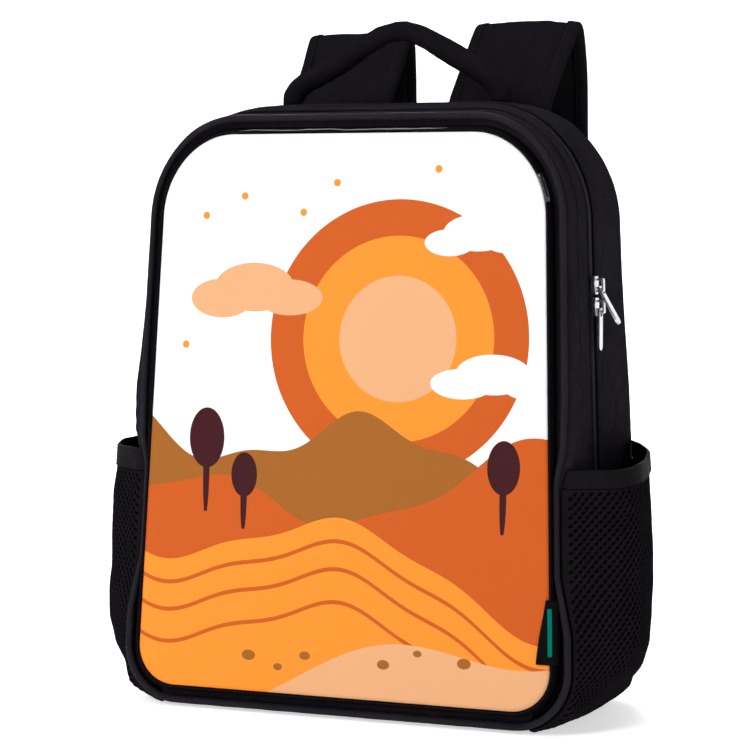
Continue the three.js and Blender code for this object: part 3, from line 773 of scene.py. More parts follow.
def make_highlight_bead():
    """A fine pale line that waves along the border over the print: a painted highlight, coloured pale where
    a glossy edge would catch the light.
    """
    x = np.linspace(*HIGHLIGHT_SPAN, 240)
    line = np.stack([x, np.zeros_like(x), np.zeros_like(x)], axis=1)
    out = HIGHLIGHT_OUT + 0.45 * field(line, 13.0, 17) + 0.15 * field(line, 5.0, 18)
    line[:, 2] = PANEL_TOP + out
    crest = np.array(BORDER_ROWS[3:7])
    line[:, 1] = front_plane(line[:, 2]) + np.interp(out, crest[:, 2], crest[:, 1]) - 0.08
    ends = np.minimum(x - HIGHLIGHT_SPAN[0], HIGHLIGHT_SPAN[1] - x)
    radius = HIGHLIGHT_RADIUS * (0.15 + 0.85 * smooth(ends / HIGHLIGHT_TAPER)) * (1.0 + 0.3 * field(line, 7.0, 19))
    rings = []
    for a in np.linspace(0, 2 * np.pi, 8, endpoint=False):
        way = np.array([0.0, 0.6 * math.cos(a), math.sin(a)])
        rings.append(line + radius[:, None] * way)
    return make_piece("painted_edge_highlight", *loft(np.stack(rings, axis=1)), highlight_paint, "trim")


def make_piping():
    path = make_path("loop", 1.4)
    turns = np.linspace(0, 2 * np.pi, 16, endpoint=False)
    profile = [(0.0, PIPING_DEPTH + PIPING_RADIUS * math.cos(a), PIPING_REACH + PIPING_RADIUS * math.sin(a))
               for a in turns]
    points, faces = loft(run_profile(path, profile), closed_path=True)
    piece = make_piece("piping", points, faces, piping_cloth, "trim", replaces=["front_piping"])
    return push(piece, lambda p: 0.12 * field(p, 11.0, 12) + 0.05 * field(p, 2.6, 13))


# Stitches: short threads sunk at both ends, laid along a row of places
STITCH_PROFILE = [(-0.5, 0.0), (-0.25, 0.35), (0.25, 0.35), (0.5, 0.0), (0.0, -0.3)]
STITCH_RINGS = 5
STITCH_LIFT = 0.12
STITCH_SINK = 0.18
STITCH_TAPER = 0.75


def make_stitches(name, rows, slot, pitch=3.0, length=2.2, width=0.5):
    """rows holds pairs of arrays: the places of a seam and the directions out of the cloth."""
    points, faces = [], []
    sides = len(STITCH_PROFILE)
    for places, outs in rows:
        along = lengths_along(places)
        for middle in np.arange(pitch * 0.5, along[-1] - pitch * 0.5, pitch):
            at = middle + np.linspace(-0.5, 0.5, STITCH_RINGS) * length
            p = np.stack([np.interp(at, along, places[:, k]) for k in range(3)], axis=1)
            n = unit(np.array([np.interp(middle, along, outs[:, k]) for k in range(3)]))
            side = np.cross(unit(p[-1] - p[0]), n)
            start = len(points)
            for i in range(STITCH_RINGS):
                u = abs(2 * i / (STITCH_RINGS - 1) - 1)
                size = width * (1.0 - STITCH_TAPER * u ** 3)
                rise = STITCH_LIFT * (1.0 - u * u) - STITCH_SINK * u ** 3
                points += [p[i] + side * a * size + n * (rise + b * size) for a, b in STITCH_PROFILE]
            faces += tube_faces(STITCH_RINGS, sides, start)
    return fix_normals(make_piece(name, points, faces, thread_dark, slot))


def seam_line(path, share, offset, out, away):
    """A seam along a path and the ways out of it, taken towards a second profile place."""
    places = ring(path, share, offset, out)
    outs = unit(ring(path, *away) - places)
    return places, outs


# Gusset: cloth rolled at the seams, with soft wrinkles that fade at the zipper
FRONT_OUTER = [
    (0, 9.6, 2.0), (0, 8.2, 2.2), (0, 7.45, 3.6), (0, 7.35, 8.5), (0, 7.55, 11.2), (0, 8.6, 12.7),
    (0, 10.4, 13.1), (0, 12.6, 12.5), (0, 16, 12.2), (0, 22, 12.7), (0.2, 0, 13.1), (0.33, 0, 13.0),
    (0.41, -6.7, 12.9), (0.44, -6.7, 12.7), (0.45, -6.75, 12.3), (0.45, -6.8, 11.6),
]
REAR_OUTER = [
    (0.45, 6.8, 11.6), (0.45, 6.75, 12.3), (0.46, 6.7, 12.7), (0.49, 6.7, 12.9), (0.6, 0, 13.0),
    (0.78, 0, 13.1), (0.9, 0, 13.0), (0.94, 0, 12.4), (0.965, 0, 11.9), (0.985, 0, 11.6), (1, -0.6, 9.6),
    (1, -0.1, 7.2), (1, 0, 5.2), (1, 0, 3.4),
]
BASE_OUTER = FRONT_OUTER[:10] + [
    (0.2, 0, 13.1), (0.33, 0, 13.0), (0.5, 0, 13.0), (0.65, 0, 13.0),
] + REAR_OUTER[5:]
GUSSET_THICKNESS = 1.6


def wrinkles(p):
    """Soft folds of the side walls: they run down the sides and gather above the hems and at corners."""
    depth = (p[:, 1] - front_plane(p[:, 2])) / depth_at(p[:, 2])
    calm = smooth(np.abs(depth - ZIPPER_SHARE) / 0.09)
    calm *= smooth(depth / 0.12) * smooth((1.02 - depth) / 0.12)
    long_folds = 1.1 * field(p, (60, 17, 95), 21) + 0.45 * field(p, (30, 8, 60), 22)
    hem = np.exp(-((p[:, 2] - 172) / 13.0) ** 2)
    lines = np.sin((p[:, 2] + 5.0 * np.sin(p[:, 1] / 21.0)) / 1.55)
    crown = smooth((p[:, 2] - 280) / 60)
    corner = 0.35 * crown * field(p, (9, 26, 9), 23)
    base = smooth((60 - p[:, 2]) / 40) * 0.5 * field(p, (14, 30, 14), 24)
    return calm * (long_folds + 0.45 * hem * lines + corner + base) + 0.05 * field(p, 3.0, 25)


def wall_push(p):
    side = smooth((np.abs(p[:, 0]) - 60) / 40)
    amount = wrinkles(p) * (0.45 + 0.55 * side)
    floor = smooth((p[:, 2] - 0.5) / 5.0)
    return np.where(p[:, 2] < 6, np.minimum(amount, 0) * 0.3, amount) * (0.2 + 0.8 * floor)


def make_gusset(name, kind, rows, node, count):
    rings = run_profile(make_path(kind, 2.0), shell_profile(rows, GUSSET_THICKNESS, count))
    points, faces = loft(rings)
    piece = make_piece(name, points, faces, black_cloth, "shell", replaces=[node])
    return push(piece, wall_push)


# Zipper: tapes with woven ribs and a coil of single teeth
def make_tape(name, side, node):
    path = make_path("arch", 2.0)
    rows = []
    for k in np.linspace(0, 1, 13):
        rib = 0.12 * (math.cos(k * 6 * 2 * math.pi) > 0)
        rows.append((ZIPPER_SHARE, side * (2.9 + 7.0 * k), 11.75 - 0.95 * float(smooth(k / 0.6)) - rib))
    profile = np.array(rows + [(s, o, out - 0.7) for s, o, out in reversed(rows)])
    points, faces = loft(run_profile(path, profile))
    return make_piece(name, points, faces, tape_cloth, "trim", replaces=[node])


def resample(places, spacing):
    along = lengths_along(places)
    at = np.arange(0, along[-1], spacing)
    return np.stack([np.interp(at, along, places[:, k]) for k in range(3)], axis=1)


# A coil tooth's rings from its root to its tip: (across, radius, lift)
TOOTH_ROWS = [
    (-0.9, 0.18, 0.0), (-0.55, 0.5, 0.25), (0.4, 0.52, 0.5), (1.7, 0.5, 0.42), (2.3, 0.42, 0.05),
    (2.45, 0.15, -0.3),
]
TOOTH_SIDES = 6
TOOTH_SPACING = 0.8
CORE_ROWS = [(ZIPPER_SHARE, a, out) for a, out in ((-2.4, 10.1), (2.4, 10.1), (2.4, 10.9), (-2.4, 10.9))]


def make_coil():
    """Teeth that lie from left and right in turn over a flat core."""
    path = make_path("arch", 2.0)
    centre = resample(ring(path, ZIPPER_SHARE, 0.0, 11.3), TOOTH_SPACING)
    outer = resample(ring(path, ZIPPER_SHARE, 0.0, 12.3), TOOTH_SPACING)
    points, faces = [], []
    for i in range(2, min(len(centre), len(outer)) - 2):
        side = 1 if i % 2 else -1
        n = unit(outer[i] - centre[i])
        t = unit(centre[i + 1] - centre[i - 1])
        b = np.cross(n, t)
        b = b if b[1] > 0 else -b
        start = len(points)
        for across, radius, lift in TOOTH_ROWS:
            middle = centre[i] + b * side * across + n * lift
            for a in np.linspace(0, 2 * np.pi, TOOTH_SIDES, endpoint=False):
                points.append(middle + t * math.cos(a) * radius * 0.85 + n * math.sin(a) * radius)
        faces += tube_faces(len(TOOTH_ROWS), TOOTH_SIDES, start)
    core_points, core_faces = loft(run_profile(path, CORE_ROWS))
    faces += [tuple(len(points) + k for k in f) for f in core_faces]
    points = np.concatenate([np.array(points), core_points])
    piece = make_piece("coil_teeth", points, faces, coil_nylon, "coil", replaces=["zipper_coil"])
    return fix_normals(piece)


def fix_normals(piece):
    made = bmesh.new()
    made.from_mesh(piece.data)
    bmesh.ops.recalc_face_normals(made, faces=made.faces)
    made.to_mesh(piece.data)
    made.free()
    return piece


BEVEL_WIDTH = 0.00032
WELD_DISTANCE = 0.00002


def finish_metal():
    for name in ("zipper_slider_upper", "zipper_slider_lower", "zipper_pull_upper", "zipper_pull_lower"):
        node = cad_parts[name]
        node.data.materials.clear()
        node.data.materials.append(metal)
        weld = node.modifiers.new("weld", "WELD")
        weld.merge_threshold = WELD_DISTANCE
        bevel = node.modifiers.new("bevel", "BEVEL")
        bevel.width = BEVEL_WIDTH
        bevel.segments = 3
        bevel.limit_method = "ANGLE"
        bevel.angle_limit = math.radians(38)
        bevel.use_clamp_overlap = True


# Side pockets: the wall's surface, a knitted net over it, and the ribbed hem
SWELL_HEIGHTS = np.array([0, 0.014, 0.032, 0.058, 0.09, 0.128, 0.17, 0.27, 0.35, 0.43]) * BODY_HEIGHT
SWELL_FILLS = [0, 0.2, 0.8, 1, 1, 1, 1, 1, 1, 1]
SWELL_SHARES = [0, 0.02, 0.16, 0.42, 0.72, 0.9, 0.98, 1.03, 1.02, 0.95]
TILT_STOPS = [0, 0.15, 0.3, 0.55, 0.7, 1]
TILT_LIFTS = [-4.6, -4.4, -2.4, -0.8, 1.8, 4.8]


def pocket_path(spacing=2.0):
    base = [(BASE, a, 1.0) for a in np.linspace(-75, 0, 26)[:-1]]
    side = [(SIDE, z, 1.0) for z in np.arange(SIDE_LOW, HEM_FOOT - SEAM_GAP, spacing)]
    return base + side + [(SIDE, HEM_FOOT - SEAM_GAP, 1.0)]


LEFT_TRIM_HEIGHTS = [20, 35, 55, 80, 130, 152, 165]
LEFT_TRIMS = [0.6, 1.0, 0.4, -1.9, -1.9, -2.9, -2.9]


def pocket_column(path, stop, cloth, side):
    """The wall's places along a path at one share of its depth, out by some cloth."""
    base = GUSSET_REACH + POCKET_CLEARANCE - POCKET_WRAP * (1 - float(smooth(stop / 0.02)))
    place = ring(path, POCKET_REAR * stop, POCKET_FRONT * (1 - stop), base)
    z = place[:, 2]
    line = (PANEL_HALF + base) * (1 - SIDE_TAPER * z / BODY_HEIGHT)
    hold = float(smooth(min(stop, 1 - stop) / 0.02))
    room = hold * np.maximum(line - place[:, 0] - SEAM_PINCH, 0)
    swell = POCKET_SWELL * np.interp(z, SWELL_HEIGHTS, SWELL_SHARES)
    peak = stop / POCKET_PEAK if stop < POCKET_PEAK else (1 - stop) / (1 - POCKET_PEAK)
    fill = room * np.interp(z, SWELL_HEIGHTS, SWELL_FILLS)
    if side < 0:
        swell = swell + np.interp(z, LEFT_TRIM_HEIGHTS, LEFT_TRIMS)
    place[:, 0] += fill + swell * peak * (2 - peak) + cloth
    place[:, 2] += np.interp(stop, TILT_STOPS, TILT_LIFTS) * smooth((z - 95.0) / 55.0)
    return place


class Wall:
    """The pocket's wall as a surface of two lengths, so that a net of even cells can lie on it."""

    def __init__(self, cloth, side):
        self.path = pocket_path()
        stops = np.linspace(0, 1, 121)
        self.grid = np.stack([pocket_column(self.path, s, cloth, side) for s in stops], axis=1)
        across = np.linalg.norm(np.diff(self.grid, axis=1), axis=2).mean(axis=0)
        up = np.linalg.norm(np.diff(self.grid, axis=0), axis=2)[:, 20:100].mean(axis=1)
        self.u = np.concatenate([[0], np.cumsum(across)])
        self.v = np.concatenate([[0], np.cumsum(up)])

    def at(self, u, v):
        i = np.interp(v, self.v, np.arange(len(self.v)))
        j = np.interp(u, self.u, np.arange(len(self.u)))
        i0 = np.minimum(i.astype(int), len(self.v) - 2)
        j0 = np.minimum(j.astype(int), len(self.u) - 2)
        a, b = (i - i0)[:, None], (j - j0)[:, None]
        g = self.grid
        return ((1 - a) * (1 - b) * g[i0, j0] + (1 - a) * b * g[i0, j0 + 1]
                + a * (1 - b) * g[i0 + 1, j0] + a * b * g[i0 + 1, j0 + 1])

    def normal(self, u, v):
        e = 0.8
        du = self.at(np.minimum(u + e, self.u[-1]), v) - self.at(np.maximum(u - e, 0), v)
        dv = self.at(u, np.minimum(v + e, self.v[-1])) - self.at(u, np.maximum(v - e, 0))
        n = unit(np.cross(du, dv))
        return n * np.where(n[:, :1] < 0, -1.0, 1.0)


NET_PITCH = 4.3
NET_ROW = 2.9
NET_THICKNESS = 0.9
NET_EDGE = 2.6
NET_HOLE = (0.4, 0.78)
NET_SLANT = 0.3
NET_DIP = 0.3
NET_CALM = 12.0
PLEAT_HEIGHT = 26.0
HEXAGON = [(0.5, -1 / 3), (0.5, 1 / 3), (0, 2 / 3), (-0.5, 1 / 3), (-0.5, -1 / 3), (0, -2 / 3)]


def net_cells(width, height):
    """Corners (u, v) and rings of six: the cells of a staggered net and the holes inside them."""
    corners, cells, points = {}, [], []

    def corner(u, v):
        key = (round(u * 50), round(v * 50))
        if key not in corners:
            corners[key] = len(points)
            points.append((u, v))
        return corners[key]

    rows = int(height / NET_ROW) + 2
    cols = int(width / NET_PITCH) + 2
    for r in range(rows):
        for c in range(cols):
            cu = (c + 0.5 * (r % 2)) * NET_PITCH
            cv = r * NET_ROW
            ring_of = [corner(cu + a * NET_PITCH, cv + b * NET_ROW) for a, b in HEXAGON]
            inside = NET_EDGE < cu < width - NET_EDGE and NET_EDGE < cv < height - NET_EDGE
            cells.append((ring_of, (cu, cv), inside))
    return points, cells


def make_net(name, side, node, wall):
    width, height = wall.u[-1], wall.v[-1]
    points, cells = net_cells(width, height)
    points = [[u, v, 0.0] for u, v in points]
    top_faces = []
    for ring_of, (cu, cv), inside in cells:
        if inside:
            start = len(points)
            for k in ring_of:
                u, v, _ = points[k]
                lean = (v - cv) * NET_SLANT
                points.append([cu + (u - cu) * NET_HOLE[0] + lean, cv + (v - cv) * NET_HOLE[1], -NET_DIP])
            for k in range(6):
                j = (k + 1) % 6
                top_faces.append((ring_of[k], ring_of[j], start + j, start + k))
        else:
            top_faces.append(tuple(ring_of))
    uv = np.array(points)
    uv[:, 0] = np.clip(uv[:, 0], 0, width)
    uv[:, 1] = np.clip(uv[:, 1], 0, height)
    sheet = bpy.data.meshes.new("flat")
    sheet.from_pydata(uv.tolist(), [], top_faces)
    made = bmesh.new()
    made.from_mesh(sheet)
    bmesh.ops.remove_doubles(made, verts=made.verts, dist=0.02)
    bmesh.ops.dissolve_degenerate(made, edges=made.edges, dist=0.02)
    loose = [f for f in made.faces if f.calc_area() < 0.01]
    bmesh.ops.delete(made, geom=loose, context="FACES")
    alone = [v for v in made.verts if not v.link_faces]
    bmesh.ops.delete(made, geom=alone, context="VERTS")
    made.verts.index_update()
    uv = np.array([v.co[:] for v in made.verts])
    faces = [tuple(v.index for v in f.verts) for f in made.faces]
    made.free()
    bpy.data.meshes.remove(sheet)
    base = wall.at(uv[:, 0], uv[:, 1])
    out = wall.normal(uv[:, 0], uv[:, 1])
    edge = np.minimum.reduce([uv[:, 0], width - uv[:, 0], uv[:, 1], height - uv[:, 1]])
    edge = smooth(edge / NET_CALM)
    low_front = np.exp(-(uv[:, 1] / PLEAT_HEIGHT) ** 2)
    pleats = low_front * 0.9 * np.sin(uv[:, 0] / 2.4 + 1.6 * np.sin(uv[:, 1] / 9.0))
    slack = 0.9 * field(base, (34, 26, 30), 31) + 0.35 * field(base, 12, 32)
    base = base + out * ((edge * (slack + pleats) + 0.15)[:, None])
    upper = base + out * (NET_THICKNESS + uv[:, 2:])
    all_points = np.concatenate([upper, base])
    n = len(base)
    edges = {}
    for f in faces:
        for a, b in zip(f, f[1:] + f[:1]):
            edges.setdefault((min(a, b), max(a, b)), []).append((a, b))
    rims = [pairs[0] for pairs in edges.values() if len(pairs) == 1]
    all_faces = faces + [tuple(n + k for k in reversed(f)) for f in faces]
    all_faces += [(b, a, a + n, b + n) for a, b in rims]
    all_points[:, 0] *= side
    return fix_normals(make_piece(name, all_points, all_faces, net_cloth, "mesh", replaces=[node]))


SHADE_SHEET_DEPTH = 0.35
SHADE_SHEET_THICKNESS = 0.4


def make_shade_sheet(name, side, node, wall):
    """A thin closed sheet just behind the net on the same wall, coloured very dark as painted shade for the
    pocket's shaded inside seen through the holes.
    """
    outer = wall.grid[:, ::2].swapaxes(0, 1) - (SHADE_SHEET_DEPTH, 0.0, 0.0)
    inner = outer - (SHADE_SHEET_THICKNESS, 0.0, 0.0)
    rings = np.concatenate([outer, inner[:, ::-1]], axis=1) * (side, 1.0, 1.0)
    piece = make_piece(name, *loft(rings), pocket_shade_cloth, "mesh", replaces=[node])
    return piece


HEM_RIBS = 6
HEM_LIFTS = {1: 0.0, -1: 3.0}


def make_hem(name, side, node):
    stops = np.linspace(0, 1, 130)
    heights = np.linspace(HEM_FOOT, HEM_TOP, 44)
    path = [(SIDE, z, 1.0) for z in heights]
    t = (heights - HEM_FOOT) / (HEM_TOP - HEM_FOOT)
    ribs = 0.5 * np.abs(np.sin(np.pi * HEM_RIBS * t)) ** 0.6
    round_off = 0.9 * (np.maximum(0, 1 - t / 0.07) ** 2 + np.maximum(0, (t - 0.92) / 0.08) ** 2)
    rings = []
    for s in stops:
        wave = 0.5 * math.sin(s * 23.0) + 0.3 * math.sin(s * 41.0 + 1.0)
        inner = pocket_column(path, s, 0.35, side)
        outer = pocket_column(path, s, 1.9, side)
        outer[:, 0] += ribs - round_off
        hold = float(smooth(min(s, 1 - s) / 0.08))
        for row in (inner, outer):
            row[:, 0] += 0.3 * hold * wave
            row[:, 2] += 0.35 * hold * wave * t + HEM_LIFTS[side] * smooth(t)
        rings.append(np.concatenate([outer, inner[::-1]]))
    rings = np.array(rings) * (side, 1.0, 1.0)
    return make_piece(name, *loft(rings), hem_cloth, "hem", replaces=[node])


# Shoulder straps: (height, reach, spread, width) along the strap, as in the part
STRAP_ROWS = [
    (0.905, 0, 0.93, 1), (0.955, 0, 0.93, 1), (1, 0.07, 0.94, 1), (1.035, 0.25, 0.95, 1),
    (1.08, 0.5, 0.97, 1.01), (1.118, 0.7, 0.99, 1.02), (1.133, 0.8, 1, 1.02), (1.127, 0.885, 1, 1.02),
    (1.095, 0.945, 1.01, 1.01), (1.04, 0.99, 1.02, 1), (0.93, 1.01, 1.04, 1), (0.8, 0.96, 1.09, 0.98),
    (0.68, 0.83, 1.17, 0.92), (0.58, 0.65, 1.27, 0.8), (0.51, 0.49, 1.37, 0.66),
]
STRAP_LIFTS = {1: 1.6, -1: -3.0}
STRAP_FLARES = {1: 0.06, -1: 0.08}
STRAP_STEPS = 190
STRAP_END = 7.0
STRAP_EDGE = 0.36


def band_out(places):
    """The directions out of a flat band that lies across x."""
    along = unit(np.gradient(places[:, 1:3], axis=0))
    return np.stack([np.zeros(len(places)), -along[:, 1], along[:, 0]], axis=1)


def strap_line(side):
    """Centre places and widths along a strap, with its outward directions, all at the right."""
    rows = []
    for height, reach, spread, width in STRAP_ROWS:
        z = height * BODY_HEIGHT
        y = rear_plane(z) + SEAM_GAP + STRAP_THICKNESS / 2 + reach * STRAP_REACH
        z += STRAP_LIFTS[side] * float(smooth((z - 370.0) / 45.0))
        flare = 1.0 + STRAP_FLARES[side] * float(smooth((z - 330.0) / 60.0))
        shift = 0.5 * (flare - 1.0) * STRAP_WIDTH * (side < 0)
        rows.append((spread * STRAP_SPREAD + shift, y, z, width * flare * STRAP_WIDTH))
    rows = curve_through(rows, STRAP_STEPS)
    return rows[:, :3], rows[:, 3], band_out(rows[:, :3])


def strap_half(step):
    """Half the padding's thickness, which lessens towards both ends."""
    end = float(smooth(min(step, STRAP_STEPS - 1 - step) / STRAP_END))
    return STRAP_THICKNESS / 2 * (0.55 + 0.45 * end)


def flat_profile(across, heights):
    """The closed profile of a flat band: its upper face and the same one below."""
    top = list(zip(across, heights))
    return top + [(u, -v) for u, v in reversed(top)]


def strap_ring(place, width, out, profile):
    """A profile of (share of the width, height) rows, set at a place of a band."""
    across, height = np.array(profile).T[:, :, None]
    return place + across * width * np.array([1.0, 0.0, 0.0]) + height * out


def make_strap(name, side, node):
    places, widths, out = strap_line(side)
    across = np.linspace(-1, 1, 29)
    crown = (1 - np.abs(across) ** 3.2) ** 0.55
    rings = []
    for i in range(STRAP_STEPS):
        heights = strap_half(i) * (STRAP_EDGE + (1 - STRAP_EDGE) * crown)
        rings.append(strap_ring(places[i], widths[i], out[i], flat_profile(0.5 * across * 0.965, heights)))
    mirror = np.array([side, 1.0, 1.0])
    points, faces = loft(np.array(rings) * mirror)
    piece = make_piece(name, points, faces, [strap_cloth, strap_mesh], "padding", replaces=[node])

    def placed(p):
        """The share of the half width, the height over the middle and the nearest step."""
        p = p * mirror
        near = np.argmin(((p[:, None, 1:] - places[None, :, 1:]) ** 2).sum(axis=2), axis=1)
        rise = ((p - places[near]) * out[near]).sum(axis=1)
        return (p[:, 0] - places[near, 0]) / (0.5 * widths[near]), rise, near

    def held(p):
        share, _, near = placed(p)
        return (np.abs(share) > 0.86) | (near < 6) | (near > STRAP_STEPS - 7)

    inflate(piece, 4.0, 1.4, held)
    middles = np.array([poly.center[:] for poly in piece.data.polygons]) / MM
    _, rise, _ = placed(middles)
    piece.data.polygons.foreach_set("material_index", (rise < 0.0).astype(int).tolist())
    push(piece, lambda p: 0.35 * field(p, (22, 22, 16), 41) + 0.2 * field(p, (9, 14, 7), 42))
    return piece


BINDING_INSET = 2.6
BINDING_ROUND = 3.0
BINDING_REACH = 5.2
BINDING_CLOTH = 0.7
BINDING_LIFT = 0.9


def make_strap_binding(name, side):
    """A folded tape along both edges, as one closed profile per edge."""
    places, widths, out = strap_line(side)
    points, faces = [], []
    for edge in (-1, 1):
        rings = []
        for i in range(STRAP_STEPS):
            thick = strap_half(i) * 0.5 + BINDING_LIFT
            fold = 0.5 * widths[i] - BINDING_INSET
            turns = np.linspace(-1.0, 1.0, 15) * math.pi * 0.5
            bend = [(fold + BINDING_ROUND * math.cos(a), thick * math.sin(a)) for a in turns]
            tail = fold - BINDING_REACH
            outer = [(tail, -thick * 1.22)] + bend + [(tail, thick * 1.22)]
            inner = [(u - BINDING_CLOTH if u > fold else u, v * 0.72) for u, v in outer]
            shape = [(edge * u / widths[i], v) for u, v in outer + inner[::-1]]
            rings.append(strap_ring(places[i], widths[i], out[i], shape))
        more_points, more_faces = loft(np.array(rings) * (side, 1.0, 1.0))
        faces += [tuple(len(points) + k for k in f) for f in more_faces]
        points += list(more_points)
    return make_piece(name, points, faces, strap_cloth, "padding")


def strap_seams(side):
    """Stitch rows on the bindings of one strap, on both faces."""
    places, widths, out = strap_line(side)
    lift = (STRAP_THICKNESS / 4 + BINDING_LIFT) * 1.16 + 0.05
    rows = []
    for edge in (-1, 1):
        for face in (-1, 1):
            line = places + out * face * lift
            line[:, 0] = side * (line[:, 0] + edge * (0.5 * widths - 6.0))
            rows.append((line[6:-6], (out * face)[6:-6]))
    return rows


# Carry handle: a padded tube with a seam along it and pleats where it bends
HANDLE_SKEW = 2.8
HANDLE_ROWS = [
    (1, 0), (0.98, 0.16), (0.9, 0.3), (0.75, 0.44), (0.58, 0.58), (0.42, 0.73), (0.27, 0.87),
    (0.13, 0.97), (0, 1),
]


HANDLE_STEPS = 200
HANDLE_SIDES = 36
HANDLE_SEAM = math.radians(238)
HANDLE_STITCHES = math.radians(226)
FOOT_SPARE = 5.0
FOOT_FADE = 8.0


def handle_line():
    """The handle's centre line and the ways out of its loop."""
    rows = HANDLE_ROWS + [(-a, b) for a, b in reversed(HANDLE_ROWS[:-1])]
    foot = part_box("carry_handle")[0][2] / MM
    y = front_plane(BODY_HEIGHT) + HANDLE_SHARE * depth_at(BODY_HEIGHT)
    rows = [(a * HANDLE_SPAN / 2, y, foot + b * HANDLE_RISE) for a, b in rows]
    places = curve_through(rows, HANDLE_STEPS)
    places[:, 2] += HANDLE_SKEW * np.sin(2 * np.pi * places[:, 0] / HANDLE_SPAN)
    along = unit(np.gradient(places, axis=0))
    along[0], along[-1] = (0, 0, 1), (0, 0, -1)
    normal = np.stack([along[:, 2], np.zeros(HANDLE_STEPS), -along[:, 0]], axis=1)
    normal *= np.where(normal[:, 2:3].mean() < 0, -1.0, 1.0)
    return places, normal


def make_handle():
    """A swollen tube with the ridge of its seam and pleats under its bend; its feet end on the wall."""
    places, normal = handle_line()
    t = np.abs(np.linspace(-1, 1, HANDLE_STEPS))
    foot = places[0, 2]
    right = np.exp(-((places[:, 0] - 38.0) / 20.0) ** 2)
    swell = 0.08 * np.exp(-((t - 0.72) / 0.16) ** 2) - 0.03 * np.exp(-(t / 0.1) ** 2) + 0.16 * right
    radius = HANDLE_RADIUS * (1.0 + swell)[:, None, None]
    turns = np.linspace(0, 2 * np.pi, HANDLE_SIDES, endpoint=False)[:, None]
    ways = np.array([0.0, -1.0, 0.0]) * np.cos(turns) + normal[:, None] * np.sin(turns)
    points, faces = loft(places[:, None] + radius * ways)
    points[:, 2] -= FOOT_SPARE * (1.0 - smooth((points[:, 2] - foot) / FOOT_FADE))
    piece = make_piece("handle_pad", points, faces, strap_cloth, "padding", replaces=["carry_handle"])
    inflate(piece, 4.0, 1.2, lambda p: p[:, 2] < foot + 5.0)

    def sewn(p):
        near = np.argmin(((p[:, None, :] - places[None, :, :]) ** 2).sum(axis=2), axis=1)
        away = p - places[near]
        turn = np.arctan2((away * normal[near]).sum(axis=1), -away[:, 1])
        gap = (turn - HANDLE_SEAM + math.pi) % (2 * math.pi) - math.pi
        pleats = 0.55 * np.maximum(0, -np.sin(turn)) * np.exp(-(t[near] / 0.13) ** 2) * np.sin(near * 0.9)
        return 0.9 * np.exp(-(gap / 0.16) ** 2) + pleats - 0.4 * (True)

    push(piece, sewn)
    push(piece, lambda p: 0.3 * field(p, (16, 12, 12), 51) + 0.14 * field(p, (5, 9, 5), 52))
    settled = coords_of(piece)
    settled[:, 2] = np.maximum(settled[:, 2], foot - 0.1)
    set_coords(piece, settled)
    return piece


def handle_seam():
    """The stitches beside the handle's seam."""
    places, normal = handle_line()
    way = np.array([0, -1, 0]) * math.cos(HANDLE_STITCHES) + normal * math.sin(HANDLE_STITCHES)
    way = unit(way)[8:-8]
    return [(places[8:-8] + way * (HANDLE_RADIUS + 0.25), way)]


# Back panel: plain padding, tucked under the wall's rolled edge and sewn into a frame and two channels
PAD_TUCK = 3.0
PAD_INSET = 10.0
PAD_MIDDLE = np.array([0.0, 0.0, 188.0])
PAD_SHARES = np.concatenate([[1.0, 0.99, 0.975], np.linspace(0.955, 0.02, 44)])
PAD_THICKNESS = 7.5
PAD_STAND = 0.9
PAD_FRAME = 0.84
PAD_CHANNEL = 34.0
PAD_DRAW = 1.7


def make_back():
    edge = ring(make_path("loop", 3.0), 1.0, 0.0, GUSSET_REACH - PAD_INSET - SEAM_GAP + PAD_TUCK)
    front, back = [], []
    for k, row in zip(PAD_SHARES, shrunk(edge, PAD_MIDDLE, PAD_SHARES)):
        plane = rear_plane(row[:, 2])
        inset = min(1.0, (1.0 - k) * 9.0)
        frame_line = math.exp(-((PAD_FRAME - k) / 0.018) ** 2)
        channels = (k < PAD_FRAME) * np.exp(-((np.abs(row[:, 0]) - PAD_CHANNEL) / 2.6) ** 2)
        groove = np.maximum(frame_line, channels)
        puff = 0.4 * field(row, (30, 30, 40), 61) + 0.25 * field(row, (11, 11, 13), 62)
        row[:, 1] = plane - 2.2 * (1 - inset) - 2.4 * groove - 0.7 + puff * inset * (1 - groove)
        back.append(row)
        front.append(np.stack([row[:, 0], plane - PAD_THICKNESS, row[:, 2]], axis=1))
    points, faces = loft(np.stack(front[::-1] + back))
    piece = make_piece("back_pad", points, faces, black_cloth, "padding", replaces=["back_panel"])
    corners = (edge - PAD_MIDDLE)[:, [0, 2]]
    angles = np.arctan2(corners[:, 1], corners[:, 0])
    lengths = np.linalg.norm(corners, axis=1)

    def share(p):
        """0 in the pad's middle and 1 at its edge."""
        flat = (p - PAD_MIDDLE)[:, [0, 2]]
        turn = np.arctan2(flat[:, 1], flat[:, 0])
        return np.linalg.norm(flat, axis=1) / np.interp(turn, angles, lengths, period=2 * np.pi)

    def held(p):
        k = share(p)
        sewn = (k < PAD_FRAME) & (np.abs(np.abs(p[:, 0]) - PAD_CHANNEL) < 2.6)
        inside = p[:, 1] < rear_plane(p[:, 2]) - 5.5
        return (k > 0.965) | (np.abs(k - PAD_FRAME) < 0.012) | sewn | inside

    inflate(piece, 5.0, 2.6, held)
    p = coords_of(piece)
    k = share(p)
    p[:, 1] = np.minimum(p[:, 1], rear_plane(p[:, 2]) + PAD_STAND)
    channel = (k < 0.85) * np.exp(-((np.abs(p[:, 0]) - PAD_CHANNEL) / 2.2) ** 2)
    seam = np.maximum(np.exp(-((k - PAD_FRAME) / 0.014) ** 2), channel)
    outside = p[:, 1] > rear_plane(p[:, 2]) - 5.0
    p[:, 1] -= PAD_DRAW * seam * outside * (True)
    set_coords(piece, p)
    return piece


